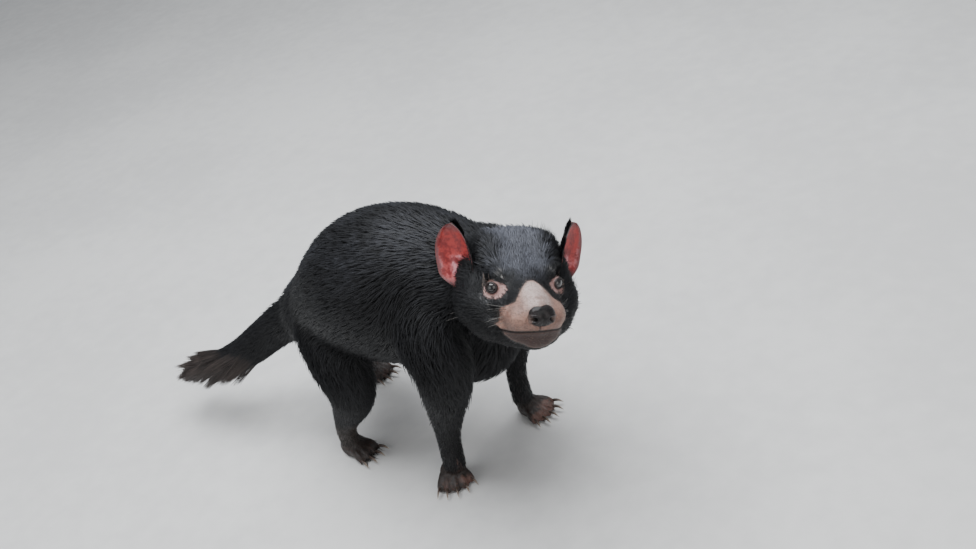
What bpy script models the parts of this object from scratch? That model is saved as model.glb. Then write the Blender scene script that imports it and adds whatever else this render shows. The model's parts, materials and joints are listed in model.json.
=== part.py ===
# A Tasmanian devil, life size, standing on its four paws with its head turned to its right and lifted.
# Metres, +Z up, +X towards the head, +Y towards the animal's left. The paws stand on Z = 0.
# The solids reach to the outside of the coat. The torso, neck, head, legs, paws and tail are modelled
# as one flesh, which is then parted with thin cuts into the nodes.
import math
import random

import bmesh
import bpy
from mathutils import Euler, Matrix, Vector

# Driving dimensions
SEAM = 0.0003              # gap between neighbouring nodes
SOFT_GRAIN = 0.0026        # size of the cells in which the trunk, legs and head are fused
SOFT_ROUNDS = 24           # rounds of smoothing after that
PAW_GRAIN = 0.0015         # the same for the paws
PAW_ROUNDS = 4
JOIN_ROUNDS = 3            # and where paws and lids join the rest
FINE_FACES = 8400          # triangles of the whole flesh, as fine as the face and paws stay
FLESH_FACES = 5400         # its triangles once the rest is thinned further
EYE_RADIUS = 0.0066
EYE_PLACE = Vector((-0.0045, 0.0268, 0.0))     # in the head, left side
EYE_LOOK = Vector((0.80, 0.58, 0.10))          # where the left eye looks, in the head
LID_THICKNESS = 0.0017
# The almond opening of the lids at two distances from the eye's centre: distance, half width, half height
LID_OPENING = ((0.0020, 0.0030, 0.0024), (0.0120, 0.0088, 0.0070))
LID_ROUNDNESS = 0.35       # 0 is an oval, more gives sharper corners of the eye
NOSE_PLACE = Vector((0.0445, 0.0012, -0.0140))
NOSE_SIZE = Vector((0.0072, 0.0114, 0.0092))   # half depth, half width, half height
NOSTRIL_PLACE = Vector((0.0048, 0.0058, -0.0014))   # from the middle of the nose, left side
NOSTRIL_SIZE = Vector((0.0040, 0.0026, 0.0020))
NOSTRIL_TURN = 0.5                             # radians outwards
# The groove between the lips is an arc about a point of the head's middle
MOUTH_GAPE = 0.0014
MOUTH_CENTRE = 0.006
MOUTH_INNER = Vector((0.0270, 0.0190))         # half length and half width of its inner edge
MOUTH_OUTER = Vector((0.0500, 0.0420))
MOUTH_REACH = math.radians(118)                # how far round it runs to each corner
MOUTH_HEIGHT = -0.0275
MOUTH_DROP = 0.0050                            # how much lower its sides lie
MOUTH_CORNER_LIFT = 0.0022
EAR_HEIGHT = {"right": 0.0575, "left": 0.0525}   # the left one is laid back a little
EAR_HALF_WIDTH = 0.0182
EAR_THICKNESS = 0.0026
EAR_DEPTH = 0.0100
EAR_CURL = 0.0030
EAR_WIDEST = 0.48          # the height at which the ear is widest, as a share of its own
# How much narrower the foot is in front and outside, and the height up to which it widens there
EAR_FOOT = ((0.50, 0.48), (0.95, 0.24))
EAR_POINT = 0.60           # 0.5 is a round tip, more is a pointed one
EAR_LEAN = (0.0090, 0.0058)   # how much nearer the skull those edges lie at the foot
EAR_ROOT = Vector((-0.0410, 0.0525, -0.0080))  # foot of the left ear, in the head
EAR_FACING = Vector((0.68, 0.72, -0.12))       # where its hollow side looks
EAR_UP = Vector((0.07, 0.10, 0.99))
CLAW_LENGTH = 0.0085
CLAW_RADIUS = 0.0017
CLAW_HEIGHT = 0.0062       # of its root above the floor
# Along the claw: reach and drop as shares of its length, size as a share of its radius
CLAW_STATIONS = ((-0.40, 0.0, 1.0), (0.15, 0.02, 1.0), (0.62, -0.14, 0.60), (1.0, -0.40, 0.14))
TAIL_LOCKS = 32            # flat locks of bristles on the end of the tail
LOCK_LENGTH = 0.066
LOCK_HALF_WIDTH = 0.0074
LOCK_HALF_THICKNESS = 0.0011
LOCK_SPREAD = 0.16         # how far a lock leans off the tail, as a share of its length
LOCK_LIFT = 0.15           # how much further the upper ones do

# The places below are measured from a point under the shoulders. The finished nodes are moved by this,
# so that the middle of the whole animal's length and width stands on the origin.
FRAME_SHIFT = Vector((0.0356, 0.0021, 0))

# The head stands at the point midway between the eyes: local X forward, Y left, Z up
HEAD_PLACE = Vector((0.221, -0.019, 0.251))
HEAD_TURN = math.radians(-33.5)  # to the animal's right
HEAD_LIFT = math.radians(15.2)   # nose up
HEAD_TILT = math.radians(-19.8)  # left ear down

# Where each paw stands, and how far its toes turn from straight ahead
FORE_PAWS = {"right": (Vector((0.073, -0.048, 0)), math.radians(-44)),
             "left": (Vector((0.093, 0.065, 0)), math.radians(-2))}
HIND_PAWS = {"right": (Vector((-0.054, -0.0575, 0)), math.radians(-4)),
             "left": (Vector((-0.131, 0.052, 0)), math.radians(2))}
SIDE = {"right": -1, "left": 1}
# Each toe: degrees it turns from the paw's line, how far out its tip is, how far aside it starts
TOES = {"fore": [(-24, 0.0190, -0.0096), (-10, 0.0230, -0.0054), (1, 0.0245, 0.0), (12, 0.0230, 0.0054),
                 (28, 0.0180, 0.0096)],
        "hind": [(-15, 0.0210, -0.0084), (-5, 0.0240, -0.0031), (5, 0.0240, 0.0031), (15, 0.0210, 0.0084)]}
TOE_RADIUS = 0.0044
# The ball of the paw: how far behind the paw's place it lies, and its half sizes
PALMS = {"fore": (0.002, Vector((0.0155, 0.0135, 0.0120))),
         "hind": (0.006, Vector((0.0200, 0.0135, 0.0120)))}
PALM_HEIGHT = 0.0070       # of its middle above the floor
PAW_SPLIT = {"fore": 0.028, "hind": 0.031}     # height of the cut between leg and paw
PAW_SPACE = 0.055          # a paw reaches no further than this from its leg's end

# Torso stations: centre, half width, half height
TORSO = [
    (Vector((-0.138, -0.010, 0.124)), 0.018, 0.018),
    (Vector((-0.126, -0.007, 0.131)), 0.030, 0.032),
    (Vector((-0.104, -0.002, 0.141)), 0.043, 0.043),
    (Vector((-0.074, 0.002, 0.153)), 0.055, 0.052),
    (Vector((-0.039, 0.004, 0.172)), 0.066, 0.064),
    (Vector((0.002, 0.004, 0.193)), 0.074, 0.074),
    (Vector((0.050, 0.003, 0.204)), 0.074, 0.076),
    (Vector((0.090, 0.006, 0.208)), 0.067, 0.070),
    (Vector((0.122, 0.012, 0.211)), 0.057, 0.060),
    (Vector((0.146, 0.018, 0.218)), 0.048, 0.050),
    (Vector((0.166, 0.012, 0.226)), 0.040, 0.042),
]
# Tail centre line with its half thickness, from inside the rump to the end of the fleshy part
TAIL = [
    (Vector((-0.128, -0.006, 0.138)), 0.0245),
    (Vector((-0.152, -0.014, 0.125)), 0.0225),
    (Vector((-0.178, -0.026, 0.109)), 0.0210),
    (Vector((-0.206, -0.042, 0.091)), 0.0190),
    (Vector((-0.236, -0.053, 0.079)), 0.0150),
    (Vector((-0.264, -0.060, 0.069)), 0.0115),
    (Vector((-0.290, -0.065, 0.060)), 0.0065),
]
BRISKET = (Vector((0.112, 0.003, 0.158)), Vector((0.046, 0.047, 0.045)))
# Where the cuts run that part the legs and the neck from the torso
ARMPIT = 0.022             # from the middle to the inner face of each foreleg
ELBOW = 0.029              # from the foreleg's middle back to its rear face
SHOULDER_CUT = (Vector((0.12, 0, 0.176)), Vector((-0.2, 0, 1)))
GROIN = 0.018              # from the middle to the inner face of each hind leg
KNEE = 0.046               # from the hind leg's middle forward to its front face
HIP_CUT = (Vector((-0.07, 0, 0.156)), Vector((0.12, 0, 1)))
RUMP_CUT = (Vector((-0.150, 0, 0.11)), Vector((-1, 0, 0.2)))
NECK_CUTS = [(Vector((0.116, 0.010, 0.215)), Vector((-1, 0.12, -0.30))),
             (Vector((0.150, 0, 0.178)), Vector((-0.25, 0, -1)))]
TAIL_SPLIT = 3             # the station at which the tail's two nodes meet
TAIL_CLEAR = 0.046         # the flesh of the tail lies above this, the paws below
TAIL_SIDE = 0.020          # and to the right of this, the left hind leg to its left
# Leg stations, right side then left: place, half width across the body, half depth
FORE_LEGS = {
    "right": [((0.092, -0.030, 0.222), 0.022, 0.036), ((0.110, -0.050, 0.196), 0.026, 0.037),
              ((0.124, -0.057, 0.168), 0.0255, 0.032), ((0.119, -0.057, 0.140), 0.0225, 0.0255),
              ((0.1018, -0.053, 0.100), 0.0155, 0.0182), ((0.0892, -0.049, 0.066), 0.0120, 0.0136),
              ((0.0822, -0.047, 0.043), 0.0116, 0.0124), ((0.0775, -0.0465, 0.012), 0.0122, 0.0120)],
    "left": [((0.092, 0.034, 0.222), 0.022, 0.036), ((0.110, 0.056, 0.194), 0.025, 0.036),
             ((0.118, 0.064, 0.164), 0.0240, 0.031), ((0.112, 0.067, 0.136), 0.0215, 0.0255),
             ((0.0995, 0.066, 0.098), 0.0150, 0.0170), ((0.0915, 0.063, 0.066), 0.0114, 0.0124),
             ((0.0880, 0.062, 0.043), 0.0112, 0.0114), ((0.0875, 0.062, 0.012), 0.0122, 0.0120)],
}
HIND_LEGS = {
    "right": [((-0.076, -0.026, 0.150), 0.024, 0.030), ((-0.060, -0.038, 0.148), 0.028, 0.036),
              ((-0.041, -0.048, 0.138), 0.028, 0.038), ((-0.025, -0.057, 0.122), 0.0262, 0.0370),
              ((-0.023, -0.060, 0.098), 0.0215, 0.0290), ((-0.035, -0.060, 0.074), 0.0160, 0.0215),
              ((-0.051, -0.060, 0.050), 0.0122, 0.0144), ((-0.061, -0.059, 0.030), 0.0106, 0.0118),
              ((-0.062, -0.0585, 0.010), 0.0110, 0.0120)],
    "left": [((-0.094, 0.024, 0.146), 0.026, 0.034), ((-0.086, 0.036, 0.144), 0.031, 0.042),
             ((-0.076, 0.045, 0.132), 0.031, 0.043), ((-0.074, 0.051, 0.114), 0.0260, 0.0350),
             ((-0.089, 0.053, 0.092), 0.0210, 0.0270), ((-0.110, 0.053, 0.070), 0.0160, 0.0205),
             ((-0.130, 0.053, 0.050), 0.0122, 0.0142), ((-0.140, 0.052, 0.030), 0.0106, 0.0118),
             ((-0.140, 0.052, 0.010), 0.0110, 0.0120)],
}
# Head sections: forward place, height of the centre, half width, half height
HEAD = [
    (-0.092, -0.014, 0.030, 0.026),
    (-0.076, -0.014, 0.042, 0.038),
    (-0.056, -0.012, 0.048, 0.046),
    (-0.036, -0.011, 0.045, 0.044),
    (-0.018, -0.012, 0.037, 0.038),
    (-0.002, -0.014, 0.030, 0.031),
    (0.014, -0.015, 0.0250, 0.0250),
    (0.028, -0.016, 0.0200, 0.0195),
    (0.038, -0.0155, 0.0160, 0.0155),
    (0.0460, -0.0145, 0.0120, 0.0115),
]
# Smaller forms of the head, one side given: centre, half sizes
HEAD_FORMS = {
    "temple": (Vector((-0.044, 0.021, 0.013)), Vector((0.034, 0.021, 0.028))),
    "brow": (Vector((-0.012, 0.0190, 0.0080)), Vector((0.020, 0.0120, 0.0110))),
    "cheek": (Vector((-0.030, 0.032, -0.020)), Vector((0.036, 0.0230, 0.025))),
    "jowl": (Vector((-0.016, 0.026, -0.031)), Vector((0.032, 0.020, 0.019))),
    "lip_pad": (Vector((0.025, 0.0140, -0.0180)), Vector((0.0215, 0.0135, 0.0130))),
    "under_eye": (Vector((0.002, 0.0220, -0.0105)), Vector((0.016, 0.0100, 0.0090))),
    "jaw": (Vector((0.000, 0.0150, -0.0360)), Vector((0.034, 0.0140, 0.0150))),
    "ear_root": (Vector((-0.044, 0.038, 0.000)), Vector((0.020, 0.013, 0.020))),
    "ear_back": (Vector((-0.063, 0.0325, 0.010)), Vector((0.022, 0.0170, 0.023))),
}
CROWN = (Vector((-0.050, 0.003, 0.010)), Vector((0.036, 0.042, 0.032)))
CHIN = (Vector((0.013, 0.0010, -0.0385)), Vector((0.029, 0.0200, 0.0130)))
BRIDGE = (Vector((0.020, 0, -0.0070)), Vector((0.031, 0.0115, 0.0110)))
THROAT = (Vector((-0.040, 0, -0.036)), Vector((0.042, 0.036, 0.024)))
HEAD_REACH = 0.075         # within this of the eyes the faces stay small
PAW_TOP = 0.022            # below this height too
HEAD_SPACE = (Vector((-0.014, 0, -0.006)), Vector((0.072, 0.070, 0.060)))   # what belongs to the head


def clear_scene():
    for old in list(bpy.data.objects):
        bpy.data.objects.remove(old)


def paint(name, colour, roughness, metallic=0.0):
    made = bpy.data.materials.new(name)
    made.use_nodes = True
    shader = made.node_tree.nodes["Principled BSDF"]
    shader.inputs["Base Color"].default_value = (*colour, 1)
    shader.inputs["Roughness"].default_value = roughness
    shader.inputs["Metallic"].default_value = metallic
    return made


def mesh_object(name, points, faces):
    data = bpy.data.meshes.new(name)
    data.from_pydata([tuple(p) for p in points], [], faces)
    data.update()
    made = bpy.data.objects.new(name, data)
    bpy.context.scene.collection.objects.link(made)
    return made


def loft(name, rings):
    """A closed body through rings of equally many points, its ends filled flat."""
    count = len(rings[0])
    points = [p for ring in rings for p in ring]
    faces = [tuple(reversed(range(count)))]
    for i in range(len(rings) - 1):
        for k in range(count):
            n = (k + 1) % count
            faces.append((i * count + k, i * count + n, (i + 1) * count + n, (i + 1) * count + k))
    last = (len(rings) - 1) * count
    faces.append(tuple(range(last, last + count)))
    return mesh_object(name, points, faces)


def smooth_stations(stations, steps):
    """Catmull-Rom through stations, each a tuple of vectors or numbers."""
    made = []
    for i in range(len(stations) - 1):
        before = stations[max(i - 1, 0)]
        here, there = stations[i], stations[i + 1]
        after = stations[min(i + 2, len(stations) - 1)]
        for k in range(steps):
            t = k / steps
            weights = (-t / 2 + t * t - t ** 3 / 2, 1 - 2.5 * t * t + 1.5 * t ** 3,
                       t / 2 + 2 * t * t - 1.5 * t ** 3, (t ** 3 - t * t) / 2)
            made.append(tuple(a * weights[0] + b * weights[1] + c * weights[2] + d * weights[3]
                              for a, b, c, d in zip(before, here, there, after)))
    made.append(stations[-1])
    return made


def tube(name, stations, around=24, steps=4):
    """A limb or trunk: stations are (centre, half width, half height); the width lies level."""
    fine = smooth_stations(stations, steps)
    rings = []
    for i, (centre, half_width, half_height) in enumerate(fine):
        ahead = fine[min(i + 1, len(fine) - 1)][0] - fine[max(i - 1, 0)][0]
        ahead.normalize()
        across = Vector((0, 1, 0)) - ahead * ahead.y
        across.normalize()
        up = ahead.cross(across)
        rings.append([centre + across * (half_width * math.cos(a)) + up * (half_height * math.sin(a))
                      for a in (2 * math.pi * k / around for k in range(around))])
    return loft(name, rings)


def ball(name, centre, half_sizes, turn=None, around=20, rows=12):
    """An ellipsoid, turned by a matrix about its centre."""
    turn = turn or Matrix.Identity(3)
    rings = []
    for r in range(rows + 1):
        a = math.pi * (0.03 + 0.94 * r / rows)
        rings.append([centre + turn @ Vector((half_sizes.x * -math.cos(a),
                                              half_sizes.y * math.sin(a) * math.cos(b),
                                              half_sizes.z * math.sin(a) * math.sin(b)))
                      for b in (2 * math.pi * k / around for k in range(around))])
    return loft(name, rings)


def apply_modifiers(obj):
    graph = bpy.context.evaluated_depsgraph_get()
    graph.update()
    data = bpy.data.meshes.new_from_object(obj.evaluated_get(graph))
    obj.modifiers.clear()
    obj.data = data


def fused(name, pieces, grain, rounds):
    """Melts overlapping closed pieces into one skin with soft creases."""
    points, faces = [], []
    for piece in pieces:
        base = len(points)
        points += [piece.matrix_world @ v.co for v in piece.data.vertices]
        faces += [tuple(base + i for i in f.vertices) for f in piece.data.polygons]
        bpy.data.objects.remove(piece)
    made = mesh_object(name, points, faces)
    melt = made.modifiers.new("melt", "REMESH")
    melt.mode = "VOXEL"
    melt.voxel_size = grain
    soften = made.modifiers.new("soften", "SMOOTH")
    soften.factor = 0.5
    soften.iterations = rounds
    apply_modifiers(made)
    return made


def cut(obj, cutters, operation, solver="EXACT"):
    """Applies a Boolean with each cutter in turn, then removes the cutters."""
    for cutter in cutters:
        step = obj.modifiers.new("cut", "BOOLEAN")
        step.operation = operation
        step.solver = solver
        step.object = cutter
        apply_modifiers(obj)
        bpy.data.objects.remove(cutter)


def copy_of(obj, name):
    made = bpy.data.objects.new(name, obj.data.copy())
    made.matrix_world = obj.matrix_world
    bpy.context.scene.collection.objects.link(made)
    return made


def head_matrix():
    turn = Euler((HEAD_TILT, -HEAD_LIFT, HEAD_TURN), "XYZ").to_matrix().to_4x4()
    return Matrix.Translation(HEAD_PLACE) @ turn


def mirrored(vector, side):
    return Vector((vector.x, vector.y * SIDE[side], vector.z))


def head_pieces():
    place = head_matrix()
    rings = []
    around = 28
    for x, z, half_width, half_height in smooth_stations(HEAD, 4):
        rings.append([place @ Vector((x, half_width * math.cos(a), z + half_height * math.sin(a)))
                      for a in (2 * math.pi * k / around for k in range(around))])
    pieces = [loft("skull", rings)]
    turn = place.to_3x3()
    for form, (centre, half_sizes) in HEAD_FORMS.items():
        for side in SIDE:
            pieces.append(ball(form, place @ mirrored(centre, side), half_sizes, turn))
    for centre, half_sizes in (CROWN, CHIN, BRIDGE, THROAT):
        pieces.append(ball("middle_form", place @ centre, half_sizes, turn))
    return pieces


def leg(kind, side):
    stations = (FORE_LEGS if kind == "fore" else HIND_LEGS)[side]
    return tube("leg", [(Vector(place), width, depth) for place, width, depth in stations])


def toe_lines(kind, side):
    """Root and tip of each toe on the floor, and its heading."""
    place, heading = (FORE_PAWS if kind == "fore" else HIND_PAWS)[side]
    turn = Matrix.Rotation(heading, 3, "Z")
    lines = []
    for spread, reach, aside in TOES[kind]:
        aim = Matrix.Rotation(math.radians(spread) + heading, 3, "Z") @ Vector((1, 0, 0))
        root = place + turn @ Vector((0.002, aside, 0))
        lines.append((root, root + aim * (reach - TOE_RADIUS), aim))
    return lines


def paw_pieces(kind, side):
    place, heading = (FORE_PAWS if kind == "fore" else HIND_PAWS)[side]
    turn = Matrix.Rotation(heading, 3, "Z")
    back, half_sizes = PALMS[kind]
    pieces = [ball("palm", place + turn @ Vector((-back, 0, PALM_HEIGHT)), half_sizes, turn)]
    for root, tip, aim in toe_lines(kind, side):
        up = Vector((0, 0, TOE_RADIUS))
        stations = [(root + up * 1.93, TOE_RADIUS * 1.14, TOE_RADIUS * 1.32),
                    (root.lerp(tip, 0.55) + up * 1.82, TOE_RADIUS * 1.07, TOE_RADIUS * 1.27),
                    (tip + up * 1.09, TOE_RADIUS * 0.91, TOE_RADIUS * 1.05)]
        pieces.append(tube("toe", stations, 12, 3))
        pieces.append(ball("toe_end", tip + up, Vector((TOE_RADIUS, TOE_RADIUS, TOE_RADIUS * 1.09))))
    return pieces


def trunk_pieces():
    pieces = [tube("trunk", TORSO, 32)]
    pieces.append(tube("tail", [(c, r, r) for c, r in TAIL]))
    pieces.append(ball("brisket", BRISKET[0], BRISKET[1]))
    for side in SIDE:
        pieces += [leg("fore", side), leg("hind", side)]
    return pieces


def region(planes, grow):
    """The convex space above the floor inside planes, each a point and an outward direction."""
    shape = bmesh.new()
    bmesh.ops.create_cube(shape, size=2)
    bmesh.ops.translate(shape, verts=shape.verts, vec=(0, 0, 1))
    for point, outward in planes:
        outward = outward.normalized()
        everything = shape.verts[:] + shape.edges[:] + shape.faces[:]
        bmesh.ops.bisect_plane(shape, geom=everything, dist=1e-7, plane_co=point + outward * grow,
                               plane_no=outward, clear_outer=True)
        rim = [e for e in shape.edges if e.is_boundary]
        bmesh.ops.holes_fill(shape, edges=rim)
    bmesh.ops.recalc_face_normals(shape, faces=shape.faces[:])
    data = bpy.data.meshes.new("region")
    shape.to_mesh(data)
    shape.free()
    made = bpy.data.objects.new("region", data)
    bpy.context.scene.collection.objects.link(made)
    return made


def part_off(flesh, name, space):
    """Takes what lies in a space out of the flesh as a node, leaving a thin gap round it."""
    piece = copy_of(flesh, name)
    cut(piece, [space(0)], "INTERSECT")
    cut(flesh, [space(SEAM)], "DIFFERENCE")
    keep_largest(piece)
    return piece


def keep_largest(obj):
    """Keeps the closed surface that holds the most volume, and drops what lies loose or sealed in it."""
    shape = bmesh.new()
    shape.from_mesh(obj.data)
    left = set(shape.faces)
    groups = []
    while left:
        seed = left.pop()
        group, edge = [seed], [seed]
        while edge:
            face = edge.pop()
            for side in face.edges:
                for other in side.link_faces:
                    if other in left:
                        left.remove(other)
                        group.append(other)
                        edge.append(other)
        groups.append(group)

    def volume(group):
        total = 0
        for face in group:
            corners = [v.co for v in face.verts]
            for i in range(1, len(corners) - 1):
                total += corners[0].dot(corners[i].cross(corners[i + 1]))
        return total

    groups.sort(key=volume)
    for group in groups[:-1]:
        bmesh.ops.delete(shape, geom=group, context="FACES")
    shape.to_mesh(obj.data)
    shape.free()
    obj.data.update()


def inside(planes):
    return lambda grow: region(planes, grow)


def plane(place, outward):
    return Vector(place), Vector(outward)


def fore_leg_planes(side):
    s = SIDE[side]
    x = FORE_LEGS[side][4][0][0]
    inner = plane((0, s * ARMPIT, 0), (0, -s, 0))
    return [inner, SHOULDER_CUT, plane((x - ELBOW, 0, 0.13), (-1, 0, 0.42))]


def hind_leg_planes(side):
    s = SIDE[side]
    x = HIND_LEGS[side][4][0][0]
    inner = plane((0, s * GROIN, 0), (0, -s, 0))
    return [inner, HIP_CUT, plane((x + KNEE, 0, 0.12), (1, 0, -0.25)), RUMP_CUT]


def paw_planes(kind, side):
    legs = FORE_LEGS if kind == "fore" else HIND_LEGS
    x, y, _ = legs[side][-1][0]
    return [plane((0, 0, PAW_SPLIT[kind]), (0, 0, 1)),
            plane((x + PAW_SPACE, 0, 0), (1, 0, 0)), plane((x - PAW_SPACE, 0, 0), (-1, 0, 0)),
            plane((0, y + PAW_SPACE, 0), (0, 1, 0)), plane((0, y - PAW_SPACE, 0), (0, -1, 0))]


def head_space(grow):
    place = head_matrix()
    centre, half_sizes = HEAD_SPACE
    half_sizes = half_sizes + Vector((grow, grow, grow))
    return ball("head_space", place @ centre, half_sizes, place.to_3x3(), 24, 16)


def tail_planes(station):
    place = TAIL[station][0]
    along = TAIL[station + 1][0] - TAIL[station - 1][0]
    return [(place, -along), plane((0, 0, TAIL_CLEAR), (0, 0, -1)), plane((0, TAIL_SIDE, 0), (0, 1, 0))]


def eye_centre(side):
    return head_matrix() @ mirrored(EYE_PLACE, side)


def lid_pieces():
    """Two swellings of the skin that close over each eyeball."""
    pieces = []
    radius = EYE_RADIUS + LID_THICKNESS
    for side in SIDE:
        pieces.append(ball("lids", eye_centre(side), Vector((radius, radius, radius)), None, 24, 14))
    return pieces


def eye_opening(side):
    """An almond shaped wedge in front of the eyeball, which opens the lids."""
    centre = eye_centre(side)
    turn = head_matrix().to_3x3()
    look = (turn @ mirrored(EYE_LOOK, side)).normalized()
    up = turn @ Vector((0, 0, 1))
    across = up.cross(look).normalized()
    up = look.cross(across)
    around = 16
    rings = []
    for reach, half_width, half_height in LID_OPENING:
        ring = []
        for k in range(around):
            a = 2 * math.pi * k / around
            lift = math.sin(a) * abs(math.sin(a)) ** LID_ROUNDNESS
            ring.append(centre + look * reach + across * (half_width * math.cos(a))
                        + up * (half_height * lift))
        rings.append(ring)
    return loft("opening", rings)


def mouth_groove():
    """A thin curved slot from one corner of the mouth round under the nose to the other."""
    place = head_matrix()
    steps = 20
    rings = []
    for i in range(steps + 1):
        a = MOUTH_REACH * (2 * i / steps - 1)
        inner = Vector((MOUTH_CENTRE + MOUTH_INNER.x * math.cos(a), MOUTH_INNER.y * math.sin(a), 0))
        outer = Vector((MOUTH_CENTRE + MOUTH_OUTER.x * math.cos(a), MOUTH_OUTER.y * math.sin(a), 0))
        height = MOUTH_HEIGHT - MOUTH_DROP * (1 - math.cos(a)) ** 0.8
        height += MOUTH_CORNER_LIFT * max(0, -math.cos(a))
        low, high = height - MOUTH_GAPE / 2, height + MOUTH_GAPE / 2
        rings.append([place @ Vector((inner.x, inner.y, low)), place @ Vector((outer.x, outer.y, low)),
                      place @ Vector((outer.x, outer.y, high)), place @ Vector((inner.x, inner.y, high))])
    return loft("groove", rings)


def swollen(obj, amount):
    """A copy of an object, its surface moved outwards by a small amount."""
    made = copy_of(obj, "swollen")
    for vertex, normal in zip(made.data.vertices, [v.normal.copy() for v in obj.data.vertices]):
        vertex.co += normal * amount
    return made


def ear_width(v, foot):
    """The share of the ear's full width at a height from 0 at its foot to 1 at its tip."""
    if v >= EAR_WIDEST:
        return (1 - ((v - EAR_WIDEST) / (1 - EAR_WIDEST)) ** 2) ** EAR_POINT
    narrowing, height = foot
    return 1 - narrowing * max(0, 1 - v / height) ** 2


def ear(side):
    """A cupped oval leaf, its root sunk in the head."""
    place = head_matrix()
    s = SIDE[side]
    facing = mirrored(EAR_FACING, side).normalized()
    up = mirrored(EAR_UP, side)
    up = (up - facing * up.dot(facing)).normalized()
    across = up.cross(facing) * s
    base = mirrored(EAR_ROOT, side)
    columns, rows = 10, 10
    front, back = [], []
    for r in range(rows + 1):
        v = math.sin(0.49 * math.pi * r / rows)
        for c in range(columns + 1):
            u = 2 * c / columns - 1
            half = EAR_HALF_WIDTH * ear_width(v, EAR_FOOT[0 if u < 0 else 1])
            sunk = (EAR_LEAN[0] * (1 - u) + EAR_LEAN[1] * (1 + u)) / 2 * (1 - v) ** 2
            hollow = EAR_DEPTH * (1 - u * u) ** 0.8 * math.sin(math.pi * (0.20 + 0.70 * v))
            middle = base + across * (u * half - sunk) + up * (EAR_HEIGHT[side] * v)
            middle -= facing * (hollow + EAR_CURL * v * v)
            edge = max(abs(u), v * v) ** 4
            thick = EAR_THICKNESS * (1 - 0.5 * edge) / 2
            front.append(place @ (middle + facing * thick))
            back.append(place @ (middle - facing * thick))
    points = front + back
    wide = columns + 1
    offset = len(front)
    faces = []
    for r in range(rows):
        for c in range(columns):
            a, b, d, e = r * wide + c, r * wide + c + 1, (r + 1) * wide + c, (r + 1) * wide + c + 1
            faces += [(a, b, e), (a, e, d)]
            faces += [(offset + a, offset + e, offset + b), (offset + a, offset + d, offset + e)]
    border = list(range(wide)) + [r * wide + columns for r in range(1, rows + 1)]
    border += [rows * wide + c for c in range(columns - 1, -1, -1)]
    border += [r * wide for r in range(rows - 1, 0, -1)]
    for here, there in zip(border, border[1:] + border[:1]):
        faces += [(there, here, offset + here), (there, offset + here, offset + there)]
    made = mesh_object("ear_" + side, points, faces)
    make_outward(made)
    return made


def make_outward(obj):
    shape = bmesh.new()
    shape.from_mesh(obj.data)
    bmesh.ops.recalc_face_normals(shape, faces=shape.faces[:])
    shape.to_mesh(obj.data)
    shape.free()


def lock(start, along, outward, length, size, spread):
    """A flat tapered lock of hair that leans off the tail and bends back towards its line."""
    across = along.cross(outward).normalized()
    rings = []
    for t in (0.0, 0.30, 0.62, 0.86, 1.0):
        centre = start + along * (length * t) + outward * (length * spread * (1.35 * t - 0.35 * t * t))
        half_width = LOCK_HALF_WIDTH * size * (1 - t ** 1.6) + 0.0004
        half_thick = LOCK_HALF_THICKNESS * (1 - 0.5 * t)
        rings.append([centre + across * half_width, centre + outward * half_thick,
                      centre - across * half_width, centre - outward * half_thick])
    made = loft("lock", rings)
    make_outward(made)
    return made


def add_locks(tip):
    """Fuses the tail's end and its bristly locks into one body."""
    draw = random.Random(7)
    first, last = TAIL[TAIL_SPLIT][0], TAIL[-1][0]
    along_all = (last - first).normalized()
    side = along_all.cross(Vector((0, 0, 1))).normalized()
    up = side.cross(along_all)
    stations = smooth_stations(TAIL[TAIL_SPLIT:], 8)
    holder = bpy.data.collections.new("locks")
    bpy.context.scene.collection.children.link(holder)
    for i in range(TAIL_LOCKS):
        f = ((i + 0.5) / TAIL_LOCKS) ** 0.75
        at = 0.10 + 0.90 * f
        k = min(int(at * (len(stations) - 1)), len(stations) - 2)
        centre, radius = stations[k]
        along = (stations[k + 1][0] - centre).normalized()
        a = i * 2.399963 + draw.uniform(-0.2, 0.2)
        outward = (side * math.cos(a) + up * math.sin(a)).normalized()
        outward = (outward - along * outward.dot(along)).normalized()
        start = centre + outward * (radius * (0.66 - 0.30 * f)) - along * LOCK_HALF_WIDTH
        length = LOCK_LENGTH * draw.uniform(0.80, 1.0) * (0.72 + 0.28 * f)
        spread = LOCK_SPREAD + LOCK_LIFT * (0.5 + 0.5 * math.sin(a)) * f
        made = lock(start, along, outward, length, draw.uniform(0.85, 1.15), spread)
        bpy.context.scene.collection.objects.unlink(made)
        holder.objects.link(made)
    join = tip.modifiers.new("join", "BOOLEAN")
    join.operation = "UNION"
    join.solver = "EXACT"
    join.operand_type = "COLLECTION"
    join.collection = holder
    apply_modifiers(tip)
    for old in list(holder.objects):
        bpy.data.objects.remove(old)
    bpy.data.collections.remove(holder)
    keep_largest(tip)


def nose_pad(head):
    place = head_matrix()
    made = ball("nose", place @ NOSE_PLACE, NOSE_SIZE, place.to_3x3(), 18, 10)
    cut(made, [swollen(head, SEAM)], "DIFFERENCE")
    nostrils = []
    for side, s in SIDE.items():
        turn = place.to_3x3() @ Matrix.Rotation(s * NOSTRIL_TURN, 3, "Z")
        centre = place @ (NOSE_PLACE + mirrored(NOSTRIL_PLACE, side))
        nostrils.append(ball("nostril", centre, NOSTRIL_SIZE, turn, 12, 8))
    cut(made, nostrils, "DIFFERENCE")
    keep_largest(made)
    return made


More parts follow.
